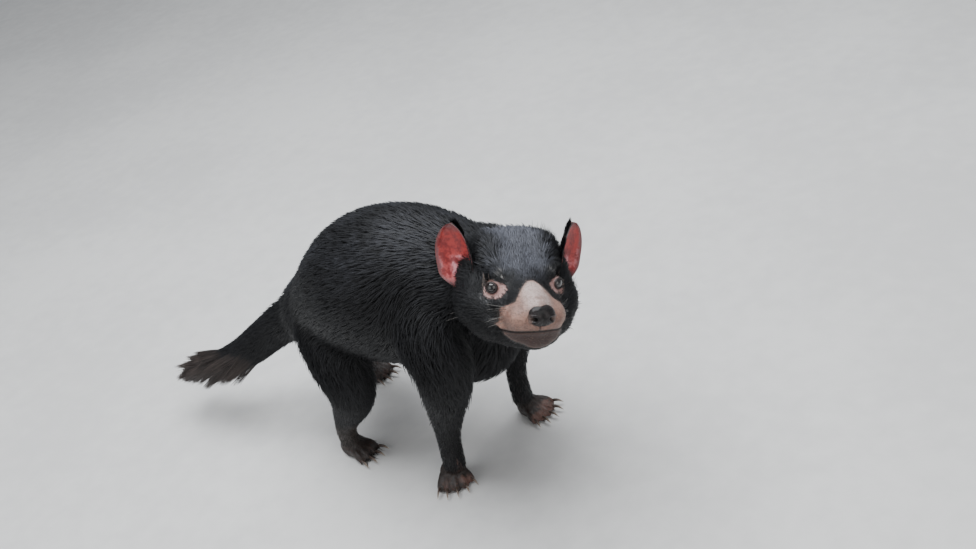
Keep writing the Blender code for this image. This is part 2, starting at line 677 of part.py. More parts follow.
def claw(name, root, aim, paw):
    """A tapered, drooping claw whose root is sunk in the toe."""
    around = 6
    side = Vector((-aim.y, aim.x, 0))
    rings = []
    for reach, drop, size in CLAW_STATIONS:
        centre = root + aim * (CLAW_LENGTH * reach) + Vector((0, 0, CLAW_HEIGHT + CLAW_LENGTH * drop))
        ring = []
        for j in range(around):
            a = 2 * math.pi * j / around
            ring.append(centre + side * (0.72 * CLAW_RADIUS * size * math.cos(a))
                        + Vector((0, 0, CLAW_RADIUS * size * math.sin(a))))
        rings.append(ring)
    made = loft(name, rings)
    make_outward(made)
    cut(made, [swollen(paw, SEAM)], "DIFFERENCE")
    keep_largest(made)
    return made


def thinned(obj, faces, group=""):
    """Thins the faces of a closed quad skin, only in a vertex group where one is named."""
    step = obj.modifiers.new("thin", "DECIMATE")
    step.ratio = min(1.0, faces / sum(len(f.vertices) - 2 for f in obj.data.polygons))
    step.vertex_group = group
    apply_modifiers(obj)


def mark_coarse(obj):
    """The vertex group of all that lies away from the face and the paws."""
    coarse = obj.vertex_groups.new(name="coarse")
    for vertex in obj.data.vertices:
        fine = (vertex.co - HEAD_PLACE).length < HEAD_REACH or vertex.co.z < PAW_TOP
        coarse.add([vertex.index], 0.0 if fine else 1.0, "REPLACE")


def finish_node(obj, name, material):
    obj.data.transform(Matrix.Translation(FRAME_SHIFT))
    obj.name = name
    obj.data.name = name
    obj.data.materials.clear()
    obj.data.materials.append(material)
    bmesh_clean(obj)


def bmesh_clean(obj):
    """Triangulates, and shades the round forms smooth."""
    shape = bmesh.new()
    shape.from_mesh(obj.data)
    bmesh.ops.triangulate(shape, faces=shape.faces[:])
    shape.to_mesh(obj.data)
    shape.free()
    obj.data.shade_smooth()


def build():
    clear_scene()
    soft = fused("soft", trunk_pieces() + head_pieces(), SOFT_GRAIN, SOFT_ROUNDS)
    paws = []
    for kind in ("fore", "hind"):
        for side in SIDE:
            paws.append(fused("paw", paw_pieces(kind, side), PAW_GRAIN, PAW_ROUNDS))
    flesh = fused("flesh", [soft] + paws + lid_pieces(), PAW_GRAIN, JOIN_ROUNDS)
    thinned(flesh, FINE_FACES)
    mark_coarse(flesh)
    thinned(flesh, FLESH_FACES, "coarse")

    coat = paint("coat", (0.020, 0.020, 0.023), 0.85)
    ear_skin = paint("ear_skin", (0.42, 0.12, 0.10), 0.6)
    paw_skin = paint("paw_skin", (0.07, 0.055, 0.05), 0.75)
    tail_hair = paint("tail_hair", (0.035, 0.026, 0.022), 0.8)
    wet_black = paint("nose_leather", (0.02, 0.018, 0.018), 0.25)
    eye_black = paint("eye", (0.012, 0.008, 0.006), 0.05)
    horn = paint("claw_horn", (0.32, 0.27, 0.20), 0.4)

    head = part_off(flesh, "head", head_space)
    neck = part_off(flesh, "neck", inside(NECK_CUTS))
    tail = part_off(flesh, "tail_base", inside(tail_planes(1)))
    tip = part_off(tail, "tail_tip", inside(tail_planes(TAIL_SPLIT)))
    add_locks(tip)
    nodes = {"head": (head, coat), "neck": (neck, coat), "tail_base": (tail, coat)}
    nodes["tail_tip"] = (tip, tail_hair)
    for kind, planes in (("fore", fore_leg_planes), ("hind", hind_leg_planes)):
        for side in SIDE:
            limb = part_off(flesh, f"{kind}_leg_{side}", inside(planes(side)))
            paw = part_off(limb, f"{kind}_paw_{side}", inside(paw_planes(kind, side)))
            nodes[f"{kind}_leg_{side}"] = (limb, coat)
            nodes[f"{kind}_paw_{side}"] = (paw, paw_skin)
            for i, (_, end, aim) in enumerate(toe_lines(kind, side), 1):
                name = f"claw_{kind}_{side}_{i}"
                nodes[name] = (claw(name, end + aim * TOE_RADIUS, aim, paw), horn)
    nodes["torso"] = (flesh, coat)

    for side in SIDE:
        size = EYE_RADIUS + SEAM
        socket = ball("socket", eye_centre(side), Vector((size, size, size)), None, 18, 12)
        cut(head, [socket, eye_opening(side)], "DIFFERENCE")
        eye = ball("eye", eye_centre(side), Vector((EYE_RADIUS, EYE_RADIUS, EYE_RADIUS)), None, 16, 10)
        nodes[f"eye_{side}"] = (eye, eye_black)
    cut(head, [mouth_groove()], "DIFFERENCE")
    keep_largest(head)
    nodes["nose"] = (nose_pad(head), wet_black)
    for side in SIDE:
        shell = ear(side)
        cut(shell, [swollen(head, SEAM)], "DIFFERENCE")
        keep_largest(shell)
        nodes[f"ear_{side}"] = (shell, ear_skin)
    for name, (obj, material) in nodes.items():
        keep_largest(obj)
        finish_node(obj, name, material)


build()
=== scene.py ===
import json
import math
import bmesh
import bpy
import numpy as np
from mathutils import Euler, Matrix, Vector
from mathutils.bvhtree import BVHTree

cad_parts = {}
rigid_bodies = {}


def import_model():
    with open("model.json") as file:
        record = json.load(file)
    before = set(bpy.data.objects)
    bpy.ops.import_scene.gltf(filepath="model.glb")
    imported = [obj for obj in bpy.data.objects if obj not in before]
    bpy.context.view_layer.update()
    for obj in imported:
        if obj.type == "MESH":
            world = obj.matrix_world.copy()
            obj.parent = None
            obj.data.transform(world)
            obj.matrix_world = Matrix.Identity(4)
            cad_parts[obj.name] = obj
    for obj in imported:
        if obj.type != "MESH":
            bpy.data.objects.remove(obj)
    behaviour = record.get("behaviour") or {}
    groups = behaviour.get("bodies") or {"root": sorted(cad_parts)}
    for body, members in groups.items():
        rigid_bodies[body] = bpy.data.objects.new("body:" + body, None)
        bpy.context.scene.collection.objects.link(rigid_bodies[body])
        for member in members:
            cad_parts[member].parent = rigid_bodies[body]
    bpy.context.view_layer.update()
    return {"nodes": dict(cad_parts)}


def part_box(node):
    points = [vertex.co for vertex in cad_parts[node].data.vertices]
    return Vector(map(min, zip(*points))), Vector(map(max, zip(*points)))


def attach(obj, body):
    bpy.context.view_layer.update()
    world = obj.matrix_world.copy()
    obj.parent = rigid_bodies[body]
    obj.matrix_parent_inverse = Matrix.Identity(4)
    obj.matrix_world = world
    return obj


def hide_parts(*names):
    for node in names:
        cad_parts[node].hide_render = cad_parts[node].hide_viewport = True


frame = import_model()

rng = np.random.default_rng(11)
scene = bpy.context.scene
sideSign = {"right": -1, "left": 1}


# The body's own measures are the same as those of the solids.
headSet = {
    "place": (0.221, -0.019, 0.251),  # midway between the eyes
    "turn": -33.5, "lift": 15.2, "tilt": -19.8,
    "eye": (-0.0045, 0.0268, 0.0), "eyeRadius": 0.0066, "look": (0.80, 0.58, 0.10),
}
eyeMiddle = sum((Vector(c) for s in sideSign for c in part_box("eye_" + s)), Vector()) / 4
headTurn = Euler([math.radians(v) for v in (headSet["tilt"], -headSet["lift"], headSet["turn"])], "XYZ")
# the solids stand where the frame puts them, so the measures below follow the middle of the eyes
shift = eyeMiddle - (Vector(headSet["place"]) + headTurn.to_matrix() @ Vector((headSet["eye"][0], 0, 0)))
headAt = Matrix.Translation(Vector(headSet["place"]) + shift) @ headTurn.to_matrix().to_4x4()
headBack = headAt.inverted()

bodySet = {
    # centre, half width, half height
    "trunk": [((-0.138, -0.010, 0.124), 0.018, 0.018), ((-0.126, -0.007, 0.131), 0.030, 0.032),
              ((-0.104, -0.002, 0.141), 0.043, 0.043), ((-0.074, 0.002, 0.153), 0.055, 0.052),
              ((-0.039, 0.004, 0.172), 0.066, 0.064), ((0.002, 0.004, 0.193), 0.074, 0.074),
              ((0.050, 0.003, 0.204), 0.074, 0.076), ((0.090, 0.006, 0.208), 0.067, 0.070),
              ((0.122, 0.012, 0.211), 0.057, 0.060), ((0.146, 0.018, 0.218), 0.048, 0.050),
              ((0.166, 0.012, 0.226), 0.040, 0.042)],
    "tail": [((-0.128, -0.006, 0.138), 0.0245, 0.0245), ((-0.152, -0.014, 0.125), 0.0225, 0.0225),
             ((-0.178, -0.026, 0.109), 0.0210, 0.0210), ((-0.206, -0.042, 0.091), 0.0190, 0.0190),
             ((-0.236, -0.053, 0.079), 0.0150, 0.0150), ((-0.264, -0.060, 0.069), 0.0115, 0.0115),
             ((-0.290, -0.065, 0.060), 0.0065, 0.0065)],
    "foreRight": [((0.092, -0.030, 0.222), 0.022, 0.036), ((0.110, -0.050, 0.196), 0.026, 0.037),
                  ((0.124, -0.057, 0.168), 0.0255, 0.032), ((0.119, -0.057, 0.140), 0.0225, 0.0255),
                  ((0.1018, -0.053, 0.100), 0.0155, 0.0182), ((0.0892, -0.049, 0.066), 0.0120, 0.0136),
                  ((0.0822, -0.047, 0.043), 0.0116, 0.0124), ((0.0775, -0.0465, 0.012), 0.0122, 0.0120)],
    "foreLeft": [((0.092, 0.034, 0.222), 0.022, 0.036), ((0.110, 0.056, 0.194), 0.025, 0.036),
                 ((0.118, 0.064, 0.164), 0.0240, 0.031), ((0.112, 0.067, 0.136), 0.0215, 0.0255),
                 ((0.0995, 0.066, 0.098), 0.0150, 0.0170), ((0.0915, 0.063, 0.066), 0.0114, 0.0124),
                 ((0.0880, 0.062, 0.043), 0.0112, 0.0114), ((0.0875, 0.062, 0.012), 0.0122, 0.0120)],
    "hindRight": [((-0.076, -0.026, 0.150), 0.024, 0.030), ((-0.060, -0.038, 0.148), 0.028, 0.036),
                  ((-0.041, -0.048, 0.138), 0.028, 0.038), ((-0.025, -0.057, 0.122), 0.0262, 0.0370),
                  ((-0.023, -0.060, 0.098), 0.0215, 0.0290), ((-0.035, -0.060, 0.074), 0.0160, 0.0215),
                  ((-0.051, -0.060, 0.050), 0.0122, 0.0144), ((-0.061, -0.059, 0.030), 0.0106, 0.0118),
                  ((-0.062, -0.0585, 0.010), 0.0110, 0.0120)],
    "hindLeft": [((-0.094, 0.024, 0.146), 0.026, 0.034), ((-0.086, 0.036, 0.144), 0.031, 0.042),
                 ((-0.076, 0.045, 0.132), 0.031, 0.043), ((-0.074, 0.051, 0.114), 0.0260, 0.0350),
                 ((-0.089, 0.053, 0.092), 0.0210, 0.0270), ((-0.110, 0.053, 0.070), 0.0160, 0.0205),
                 ((-0.130, 0.053, 0.050), 0.0122, 0.0142), ((-0.140, 0.052, 0.030), 0.0106, 0.0118),
                 ((-0.140, 0.052, 0.010), 0.0110, 0.0120)],
    "brisket": ((0.112, 0.003, 0.158), (0.046, 0.047, 0.045)),
}
headForm = {
    # along the head: forward, height, half width, half height
    "skull": [(-0.092, -0.014, 0.030, 0.026), (-0.076, -0.014, 0.042, 0.038), (-0.056, -0.012, 0.048, 0.046),
              (-0.036, -0.011, 0.045, 0.044), (-0.018, -0.012, 0.037, 0.038), (-0.002, -0.014, 0.030, 0.031),
              (0.014, -0.015, 0.0250, 0.0250), (0.028, -0.016, 0.0200, 0.0195),
              (0.038, -0.0155, 0.0160, 0.0155),
              (0.0460, -0.0145, 0.0120, 0.0115)],
    # on both sides: centre, half sizes
    "pairs": [((-0.044, 0.021, 0.013), (0.034, 0.021, 0.028)),
              ((-0.012, 0.0190, 0.0080), (0.020, 0.0120, 0.0110)),
              ((-0.030, 0.032, -0.020), (0.036, 0.0230, 0.025)),
              ((-0.016, 0.026, -0.031), (0.032, 0.020, 0.019)),
              ((0.025, 0.0140, -0.0180), (0.0215, 0.0135, 0.0130)),
              ((0.002, 0.0220, -0.0105), (0.016, 0.0100, 0.0090)),
              ((0.000, 0.0150, -0.0360), (0.034, 0.0140, 0.0150)),
              ((-0.044, 0.038, 0.000), (0.020, 0.013, 0.020)),
              ((-0.063, 0.0325, 0.010), (0.022, 0.0170, 0.023))],
    # crown, chin, bridge and throat
    "middle": [((-0.050, 0.003, 0.010), (0.036, 0.042, 0.032)),
               ((0.013, 0.0010, -0.0385), (0.029, 0.0200, 0.0130)),
               ((0.020, 0, -0.0070), (0.031, 0.0115, 0.0110)), ((-0.040, 0, -0.036), (0.042, 0.036, 0.024))],
}
pawSet = {
    "fore": {"places": {"right": (0.073, -0.048, -44), "left": (0.093, 0.065, -2)},
             "palm": (0.002, (0.0155, 0.0135, 0.0120)),
             # degrees each toe turns, how far out its tip is, how far aside it starts
             "toes": [(-24, 0.0190, -0.0096), (-10, 0.0230, -0.0054), (1, 0.0245, 0.0),
                      (12, 0.0230, 0.0054), (28, 0.0180, 0.0096)]},
    "hind": {"places": {"right": (-0.054, -0.0575, -4), "left": (-0.131, 0.052, 2)},
             "palm": (0.006, (0.0200, 0.0135, 0.0120)),
             "toes": [(-15, 0.0210, -0.0084), (-5, 0.0240, -0.0031), (5, 0.0240, 0.0031),
                      (15, 0.0210, 0.0084)]},
    "palmHeight": 0.0070, "toeRadius": 0.0044,
}


def meshObject(name, points, faces, smooth=True):
    data = bpy.data.meshes.new(name)
    data.from_pydata([tuple(p) for p in points], [], faces)
    data.update()
    if smooth:
        data.shade_smooth()
    made = bpy.data.objects.new(name, data)
    scene.collection.objects.link(made)
    return made


def tubeFaces(rows, around, base=0):
    faces = [tuple(base + k for k in reversed(range(around)))]
    for i in range(rows - 1):
        for k in range(around):
            n = (k + 1) % around
            a, b = base + i * around, base + (i + 1) * around
            faces.append((a + k, a + n, b + n, b + k))
    faces.append(tuple(base + (rows - 1) * around + k for k in range(around)))
    return faces


def through(stations, steps):
    # Catmull-Rom rows between the given ones
    rows = np.array(stations, float)
    padded = np.vstack([rows[:1], rows, rows[-1:]])
    made = []
    for i in range(len(rows) - 1):
        a, b, c, d = padded[i:i + 4]
        for k in range(steps):
            t = k / steps
            made.append(a * (-t / 2 + t * t - t ** 3 / 2) + b * (1 - 2.5 * t * t + 1.5 * t ** 3)
                        + c * (t / 2 + 2 * t * t - 1.5 * t ** 3) + d * ((t ** 3 - t * t) / 2))
    made.append(rows[-1])
    return np.array(made)


def flatStations(stations):
    # centre, half width, half height as rows of five numbers, moved to the frame's place
    return np.array([(p[0] + shift.x, p[1] + shift.y, p[2] + shift.z, w, h) for p, w, h in stations])


def limb(stations, around=24, steps=4):
    rows = through(flatStations(stations), steps)
    points = []
    for i, row in enumerate(rows):
        ahead = Vector(rows[min(i + 1, len(rows) - 1)][:3] - rows[max(i - 1, 0)][:3]).normalized()
        across = (Vector((0, 1, 0)) - ahead * ahead.y).normalized()
        up = ahead.cross(across)
        for k in range(around):
            a = 2 * math.pi * k / around
            points.append(Vector(row[:3]) + across * (row[3] * math.cos(a)) + up * (row[4] * math.sin(a)))
    return points, tubeFaces(len(rows), around)


def ball(centre, sizes, turn=None, around=20, rows=12):
    turn = turn or Matrix.Identity(3)
    points = []
    for r in range(rows + 1):
        a = math.pi * (0.03 + 0.94 * r / rows)
        for k in range(around):
            b = 2 * math.pi * k / around
            points.append(Vector(centre) + turn @ Vector((-sizes[0] * math.cos(a),
                          sizes[1] * math.sin(a) * math.cos(b), sizes[2] * math.sin(a) * math.sin(b))))
    return points, tubeFaces(rows + 1, around)


def melted(name, forms, grain, rounds):
    # overlapping closed forms become one skin with soft creases
    points, faces = [], []
    for somePoints, someFaces in forms:
        base = len(points)
        points += somePoints
        faces += [tuple(base + i for i in f) for f in someFaces]
    made = meshObject(name, points, faces)
    melt = made.modifiers.new("melt", "REMESH")
    melt.mode = "VOXEL"
    melt.voxel_size = grain
    melt.use_smooth_shade = True
    soften = made.modifiers.new("soften", "SMOOTH")
    soften.factor = 0.5
    soften.iterations = rounds
    return applied(made)


def applied(obj):
    graph = bpy.context.evaluated_depsgraph_get()
    graph.update()
    data = bpy.data.meshes.new_from_object(obj.evaluated_get(graph))
    obj.modifiers.clear()
    obj.data = data
    return obj


def formOf(obj):
    points = [v.co.copy() for v in obj.data.vertices]
    faces = [tuple(f.vertices) for f in obj.data.polygons]
    bpy.data.objects.remove(obj)
    return points, faces


def pointsOf(obj):
    flat = np.empty(len(obj.data.vertices) * 3)
    obj.data.vertices.foreach_get("co", flat)
    return flat.reshape(-1, 3)


def normalsOf(obj):
    flat = np.empty(len(obj.data.vertices) * 3)
    obj.data.vertex_normals.foreach_get("vector", flat)
    return flat.reshape(-1, 3)


def movePoints(obj, points):
    obj.data.vertices.foreach_set("co", np.ascontiguousarray(points).ravel())
    obj.data.update()


def smoothStep(x, low, high):
    t = np.clip((np.asarray(x, float) - low) / (high - low), 0, 1)
    return t * t * (3 - 2 * t)


def unit(v):
    return v / np.maximum(np.linalg.norm(v, axis=-1, keepdims=True), 1e-12)


def inHead(points):
    m = np.array(headBack)
    return points @ m[:3, :3].T + m[:3, 3]


def fromHead(points):
    m = np.array(headAt)
    return np.asarray(points) @ m[:3, :3].T + m[:3, 3]


# the skin: the solids' flesh, less the depth of the coat
coatSet = {
    "trunkDepth": 0.0050, "tailDepth": 0.0036,
    # height above the floor, depth of the coat on the legs there
    "legDepth": ((0.0, 0.0002), (0.012, 0.0003), (0.022, 0.0006), (0.035, 0.0011), (0.06, 0.0020),
                 (0.10, 0.0032), (0.15, 0.0048)),
    # behind the edge of the bare muzzle, depth of the coat there
    "headDepth": ((-0.002, 0.0001), (0, 0.0003), (0.004, 0.0010), (0.012, 0.0018), (0.030, 0.0026),
                  (0.050, 0.0040), (0.075, 0.0050)),
    "cheekDepth": 0.0014,
}
skinSet = {"grain": 0.0026, "fineGrain": 0.00125, "rounds": 24, "pawRounds": 6, "lidThickness": 0.0017,
           "bodyShare": 0.20}
faceSet = {
    # in millimetres: where the fur ends and the bare muzzle begins
    "edge": 14.5, "bridgeEdge": 17.0, "bridgeHalf": 3.0, "bridgeRun": 0.95, "bridgeMost": 12.4,
    "bridgeFrom": -15.0, "bridgeTo": -5.0, "chinTop": -27.0, "chinRun": 1.45, "soft": 3.6,
    # the pink skin round the eye reaches furthest towards the snout
    "opening": 7.3, "towards": 15.0, "away": 9.5, "below": 9.5, "above": 5.6,
    # brow is the pale spot where the brow hairs grow; the dark spot beside it is painted shade at the inner
    # end of the brow
    "brow": (2.0, 21.0, 11.0), "browSize": 2.4, "paintedBrowShade": (3.1, 22.8, 5.7), "paintedBrowShadeSize": 2.2,
}


def headForms():
    turn = headAt.to_3x3()
    rows = through(headForm["skull"], 4)
    around = 28
    points = []
    for x, z, w, h in rows:
        for k in range(around):
            a = 2 * math.pi * k / around
            points.append(headAt @ Vector((x, w * math.cos(a), z + h * math.sin(a))))
    forms = [(points, tubeFaces(len(rows), around))]
    for centre, sizes in headForm["pairs"]:
        for s in sideSign.values():
            forms.append(ball(headAt @ Vector((centre[0], centre[1] * s, centre[2])), sizes, turn))
    forms += [ball(headAt @ Vector(centre), sizes, turn) for centre, sizes in headForm["middle"]]
    return forms


def toeLines(kind, side):
    x, y, heading = pawSet[kind]["places"][side]
    place = Vector((x + shift.x, y + shift.y, 0))
    turn = Matrix.Rotation(math.radians(heading), 3, "Z")
    lines = []
    for spread, reach, aside in pawSet[kind]["toes"]:
        aim = Matrix.Rotation(math.radians(heading + spread), 3, "Z") @ Vector((1, 0, 0))
        root = place + turn @ Vector((0.002, aside, 0))
        lines.append((root, root + aim * (reach - pawSet["toeRadius"]), aim))
    return place, turn, lines


def pawForms(kind, side):
    place, turn, lines = toeLines(kind, side)
    back, sizes = pawSet[kind]["palm"]
    radius = pawSet["toeRadius"]
    forms = [ball(place + turn @ Vector((-back, 0, pawSet["palmHeight"])), sizes, turn)]
    for root, tip, aim in lines:
        up = Vector((0, 0, radius))
        stations = [(root + up * 1.93, radius * 1.14, radius * 1.32),
                    (root.lerp(tip, 0.42) + up * 1.95, radius * 1.00, radius * 1.16),
                    (root.lerp(tip, 0.72) + up * 1.45, radius * 1.08, radius * 1.24),
                    (tip + up * 1.05, radius * 0.88, radius * 1.0)]
        stations = [(tuple(p - shift), w, h) for p, w, h in stations]
        forms.append(limb(stations, 14, 3))
        forms.append(ball(tip + up * 0.98, (radius, radius * 0.96, radius * 1.05)))
    return forms


tubes = {}  # the lie of the coat: rows of place, mean radius and the way the hair points


def addTube(name, rows, points=1):
    ahead = np.gradient(rows[:, :3], axis=0)
    tubes[name] = (rows[:, :3], (rows[:, 3] + rows[:, 4]) / 2, unit(ahead) * points)


def bodyField(points):
    # how much each point belongs to each tube, the hair's way on each tube's nearest row, and that
    # row's share
    near, ways, rows = [], [], []
    for places, radii, ahead in tubes.values():
        best = np.full(len(points), 1e9)
        pick = np.zeros(len(points), int)
        for i in range(len(places)):
            d = np.linalg.norm(points - places[i], axis=1) / radii[i]
            closer = d < best
            best[closer] = d[closer]
            pick[closer] = i
        near.append(best)
        ways.append(ahead[pick])
        rows.append(pick / (len(places) - 1))
    near = np.array(near)
    share = np.exp(-5 * (near - near.min(axis=0)))
    share /= share.sum(axis=0)
    names = list(tubes)
    return {name: share[names.index(name)] for name in names}, np.array(ways), dict(zip(names, rows))


def legShare(share, kind=("fore", "hind")):
    return sum(share[name] for name in tubes if name.startswith(kind))


def along(table, x):
    xs, ys = zip(*table)
    return np.interp(x, xs, ys)


def muzzleEdge(q):
    # how far forward the fur reaches, for points in the head in millimetres
    low = smoothStep(q[:, 2], faceSet["bridgeFrom"], faceSet["bridgeTo"])
    run = np.minimum(faceSet["bridgeRun"] * np.maximum(0, np.abs(q[:, 1]) - faceSet["bridgeHalf"]),
                     faceSet["bridgeMost"])
    edge = faceSet["edge"] * (1 - low) + (faceSet["bridgeEdge"] + run) * low
    return edge + faceSet["chinRun"] * np.maximum(0, faceSet["chinTop"] - q[:, 2])


def coatDepth(points, share):
    depth = share["trunk"] * coatSet["trunkDepth"] + share["tail"] * coatSet["tailDepth"]
    depth += legShare(share) * along(coatSet["legDepth"], points[:, 2])
    q = inHead(points)
    behind = muzzleEdge(q * 1000) / 1000 - q[:, 0]
    cheek = coatSet["cheekDepth"] * smoothStep(-q[:, 2], 0.004, 0.028) * smoothStep(behind, 0.006, 0.030)
    depth += share["head"] * (along(coatSet["headDepth"], behind) + cheek)
    return depth


def makeSkin():
    trunk = [limb(bodySet["trunk"], 32), limb(bodySet["tail"])]
    trunk.append(ball(Vector(bodySet["brisket"][0]) + shift, bodySet["brisket"][1]))
    trunk += [limb(bodySet[name]) for name in ("foreRight", "foreLeft", "hindRight", "hindLeft")]
    soft = formOf(melted("soft", trunk + headForms(), skinSet["grain"], skinSet["rounds"]))
    paws = [formOf(melted("paw", pawForms(kind, side), 0.0010, skinSet["pawRounds"]))
            for kind in ("fore", "hind") for side in sideSign]
    radius = headSet["eyeRadius"] + skinSet["lidThickness"]
    lids = [ball(eyeAt(side)[0], (radius, radius, radius), None, 24, 14) for side in sideSign]
    skin = melted("skin", [soft] + paws + lids, skinSet["fineGrain"], 4)
    points = pointsOf(skin)
    points[:, 2] = np.maximum(points[:, 2], 0)  # the soles lie flat on the floor
    movePoints(skin, points)
    return skin


def eyeAt(side):
    s = sideSign[side]
    x, y, z = headSet["eye"]
    centre = headAt @ Vector((x, y * s, z))
    turn = headAt.to_3x3()
    lx, ly, lz = headSet["look"]
    look = (turn @ Vector((lx, ly * s, lz))).normalized()
    across = (turn @ Vector((0, 0, 1))).cross(look).normalized()
    return centre, look, across, look.cross(across)


for part in ("trunk", "tail", "foreRight", "foreLeft", "hindRight", "hindLeft"):
    addTube(part, through(flatStations(bodySet[part]), 4), -1 if part == "trunk" else 1)
skullRows = through(headForm["skull"], 4)
skullRows = np.hstack([fromHead(np.c_[skullRows[:, 0], 0 * skullRows[:, 0], skullRows[:, 1]]),
                       skullRows[:, 2:]])
addTube("head", skullRows, -1)

eyeSet = {
    "halfWidth": 0.0041, "halfHeight": 0.0036,  # the opening between the lids, at the eyeball
    "behind": 0.0012,  # how far the skin goes in behind the opening's edge
    "rim": 0.0005,  # how much the lid's edge stands proud
}
mouthSet = {
    "middle": 0.006, "reach": 0.0270, "half": 0.0190, "corner": 78,
    "height": -0.0285, "drop": 0.0040, "rise": 0.0022,
    "crease": 0.0011, "creaseWidth": 0.0008, "lip": 0.0006, "lipWidth": 0.0017,
}


def thinned(obj, keepPoints, share):
    # fewer faces away from the face and the paws
    group = obj.vertex_groups.new(name="thin")
    far = np.nonzero(~keepPoints)[0]
    group.add(far.tolist(), 1.0, "REPLACE")
    cut = obj.modifiers.new("thin", "DECIMATE")
    cut.ratio = share
    cut.vertex_group = "thin"
    cut.vertex_group_factor = 10
    applied(obj)
    obj.vertex_groups.clear()


def refined(obj, chosen):
    # splits the chosen faces in four
    form = bmesh.new()
    form.from_mesh(obj.data)
    form.faces.ensure_lookup_table()
    faces = [form.faces[i] for i in np.nonzero(chosen)[0]]
    edges = list({e for f in faces for e in f.edges})
    bmesh.ops.subdivide_edges(form, edges=edges, cuts=1, use_grid_fill=True)
    bmesh.ops.triangulate(form, faces=[f for f in form.faces if len(f.verts) > 4])
    form.to_mesh(obj.data)
    form.free()
    obj.data.shade_smooth()


def faceCentres(obj):
    flat = np.empty(len(obj.data.polygons) * 3)
    obj.data.polygons.foreach_get("center", flat)
    return flat.reshape(-1, 3)


def mouthHeight(q):
    a = np.arctan2(q[:, 1] / mouthSet["half"], (q[:, 0] - mouthSet["middle"]) / mouthSet["reach"])
    height = (mouthSet["height"] - mouthSet["drop"] * (1 - np.cos(a)) ** 0.8
              + mouthSet["rise"] * np.maximum(0, -np.cos(a)))
    return height, np.degrees(np.abs(a))


def eyeAngles(points, side):
    centre, look, across, up = eyeAt(side)
    d = points - np.array(centre)
    ahead = d @ np.array(look)
    out = np.linalg.norm(d, axis=1)
    radius = headSet["eyeRadius"]
    aside = np.c_[d @ np.array(across), d @ np.array(up)] / np.maximum(out, 1e-9)[:, None] * radius
    ring = np.hypot(aside[:, 0] / eyeSet["halfWidth"], aside[:, 1] / eyeSet["halfHeight"])
    return ring, out, ahead, d


def openLids(obj):
    points = pointsOf(obj)
    radius = headSet["eyeRadius"]
    for side in sideSign:
        ring, out, ahead, d = eyeAngles(points, side)
        near = (ahead > 0) & (out < radius + 0.006)
        away = unit(d)
        inside = near & (ring < 0.975)
        rim = near & (ring >= 0.975) & (ring < 2.2)
        points[inside] = np.array(eyeAt(side)[0]) + away[inside] * (radius - eyeSet["behind"])
        lift = eyeSet["rim"] * np.exp(-((ring - 1.18) / 0.22) ** 2)
        # lids hug the eyeball towards their edge
        hug = smoothStep(ring, 2.1, 1.0)
        want = radius + 0.0007 + lift
        reach = out * (1 - hug) + want * hug
        points[rim] = np.array(eyeAt(side)[0]) + away[rim] * reach[rim][:, None]
    movePoints(obj, points)


def carveFace(obj):
    points = pointsOf(obj)
    normals = normalsOf(obj)
    q = inHead(points)
    height, angle = mouthHeight(q)
    above = q[:, 2] - height
    front = smoothStep(mouthSet["corner"] - angle, 0, 10) * smoothStep(q[:, 0], -0.030, -0.024)
    push = -mouthSet["crease"] * np.exp(-(above / mouthSet["creaseWidth"]) ** 2)
    push += mouthSet["lip"] * np.exp(-((above - 0.0024) / mouthSet["lipWidth"]) ** 2)
    push += mouthSet["lip"] * 0.9 * np.exp(-((above + 0.0022) / mouthSet["lipWidth"]) ** 2)
    push *= front
    cleft = smoothStep(q[:, 0], 0.036, 0.042) * smoothStep(above, -0.0006, 0.0004) * (q[:, 2] < -0.016)
    push -= 0.0007 * np.exp(-(q[:, 1] / 0.0008) ** 2) * cleft
    # soft folds round the inner corner of the eye and along the side of the snout
    for s in sideSign.values():
        fold = np.abs(q[:, 1] * s - 0.0185 - 0.20 * (q[:, 0] - 0.010))
        where = np.exp(-((q[:, 0] - 0.012) / 0.012) ** 2) * np.exp(-((q[:, 2] + 0.004) / 0.006) ** 2)
        push -= 0.0005 * np.exp(-(fold / 0.0012) ** 2) * where
    movePoints(obj, points + normals * push[:, None])


def near(q, place, size, s=1):
    d = q - np.array((place[0], place[1] * s, place[2]))
    return np.exp(-((d / size) ** 2).sum(axis=1))


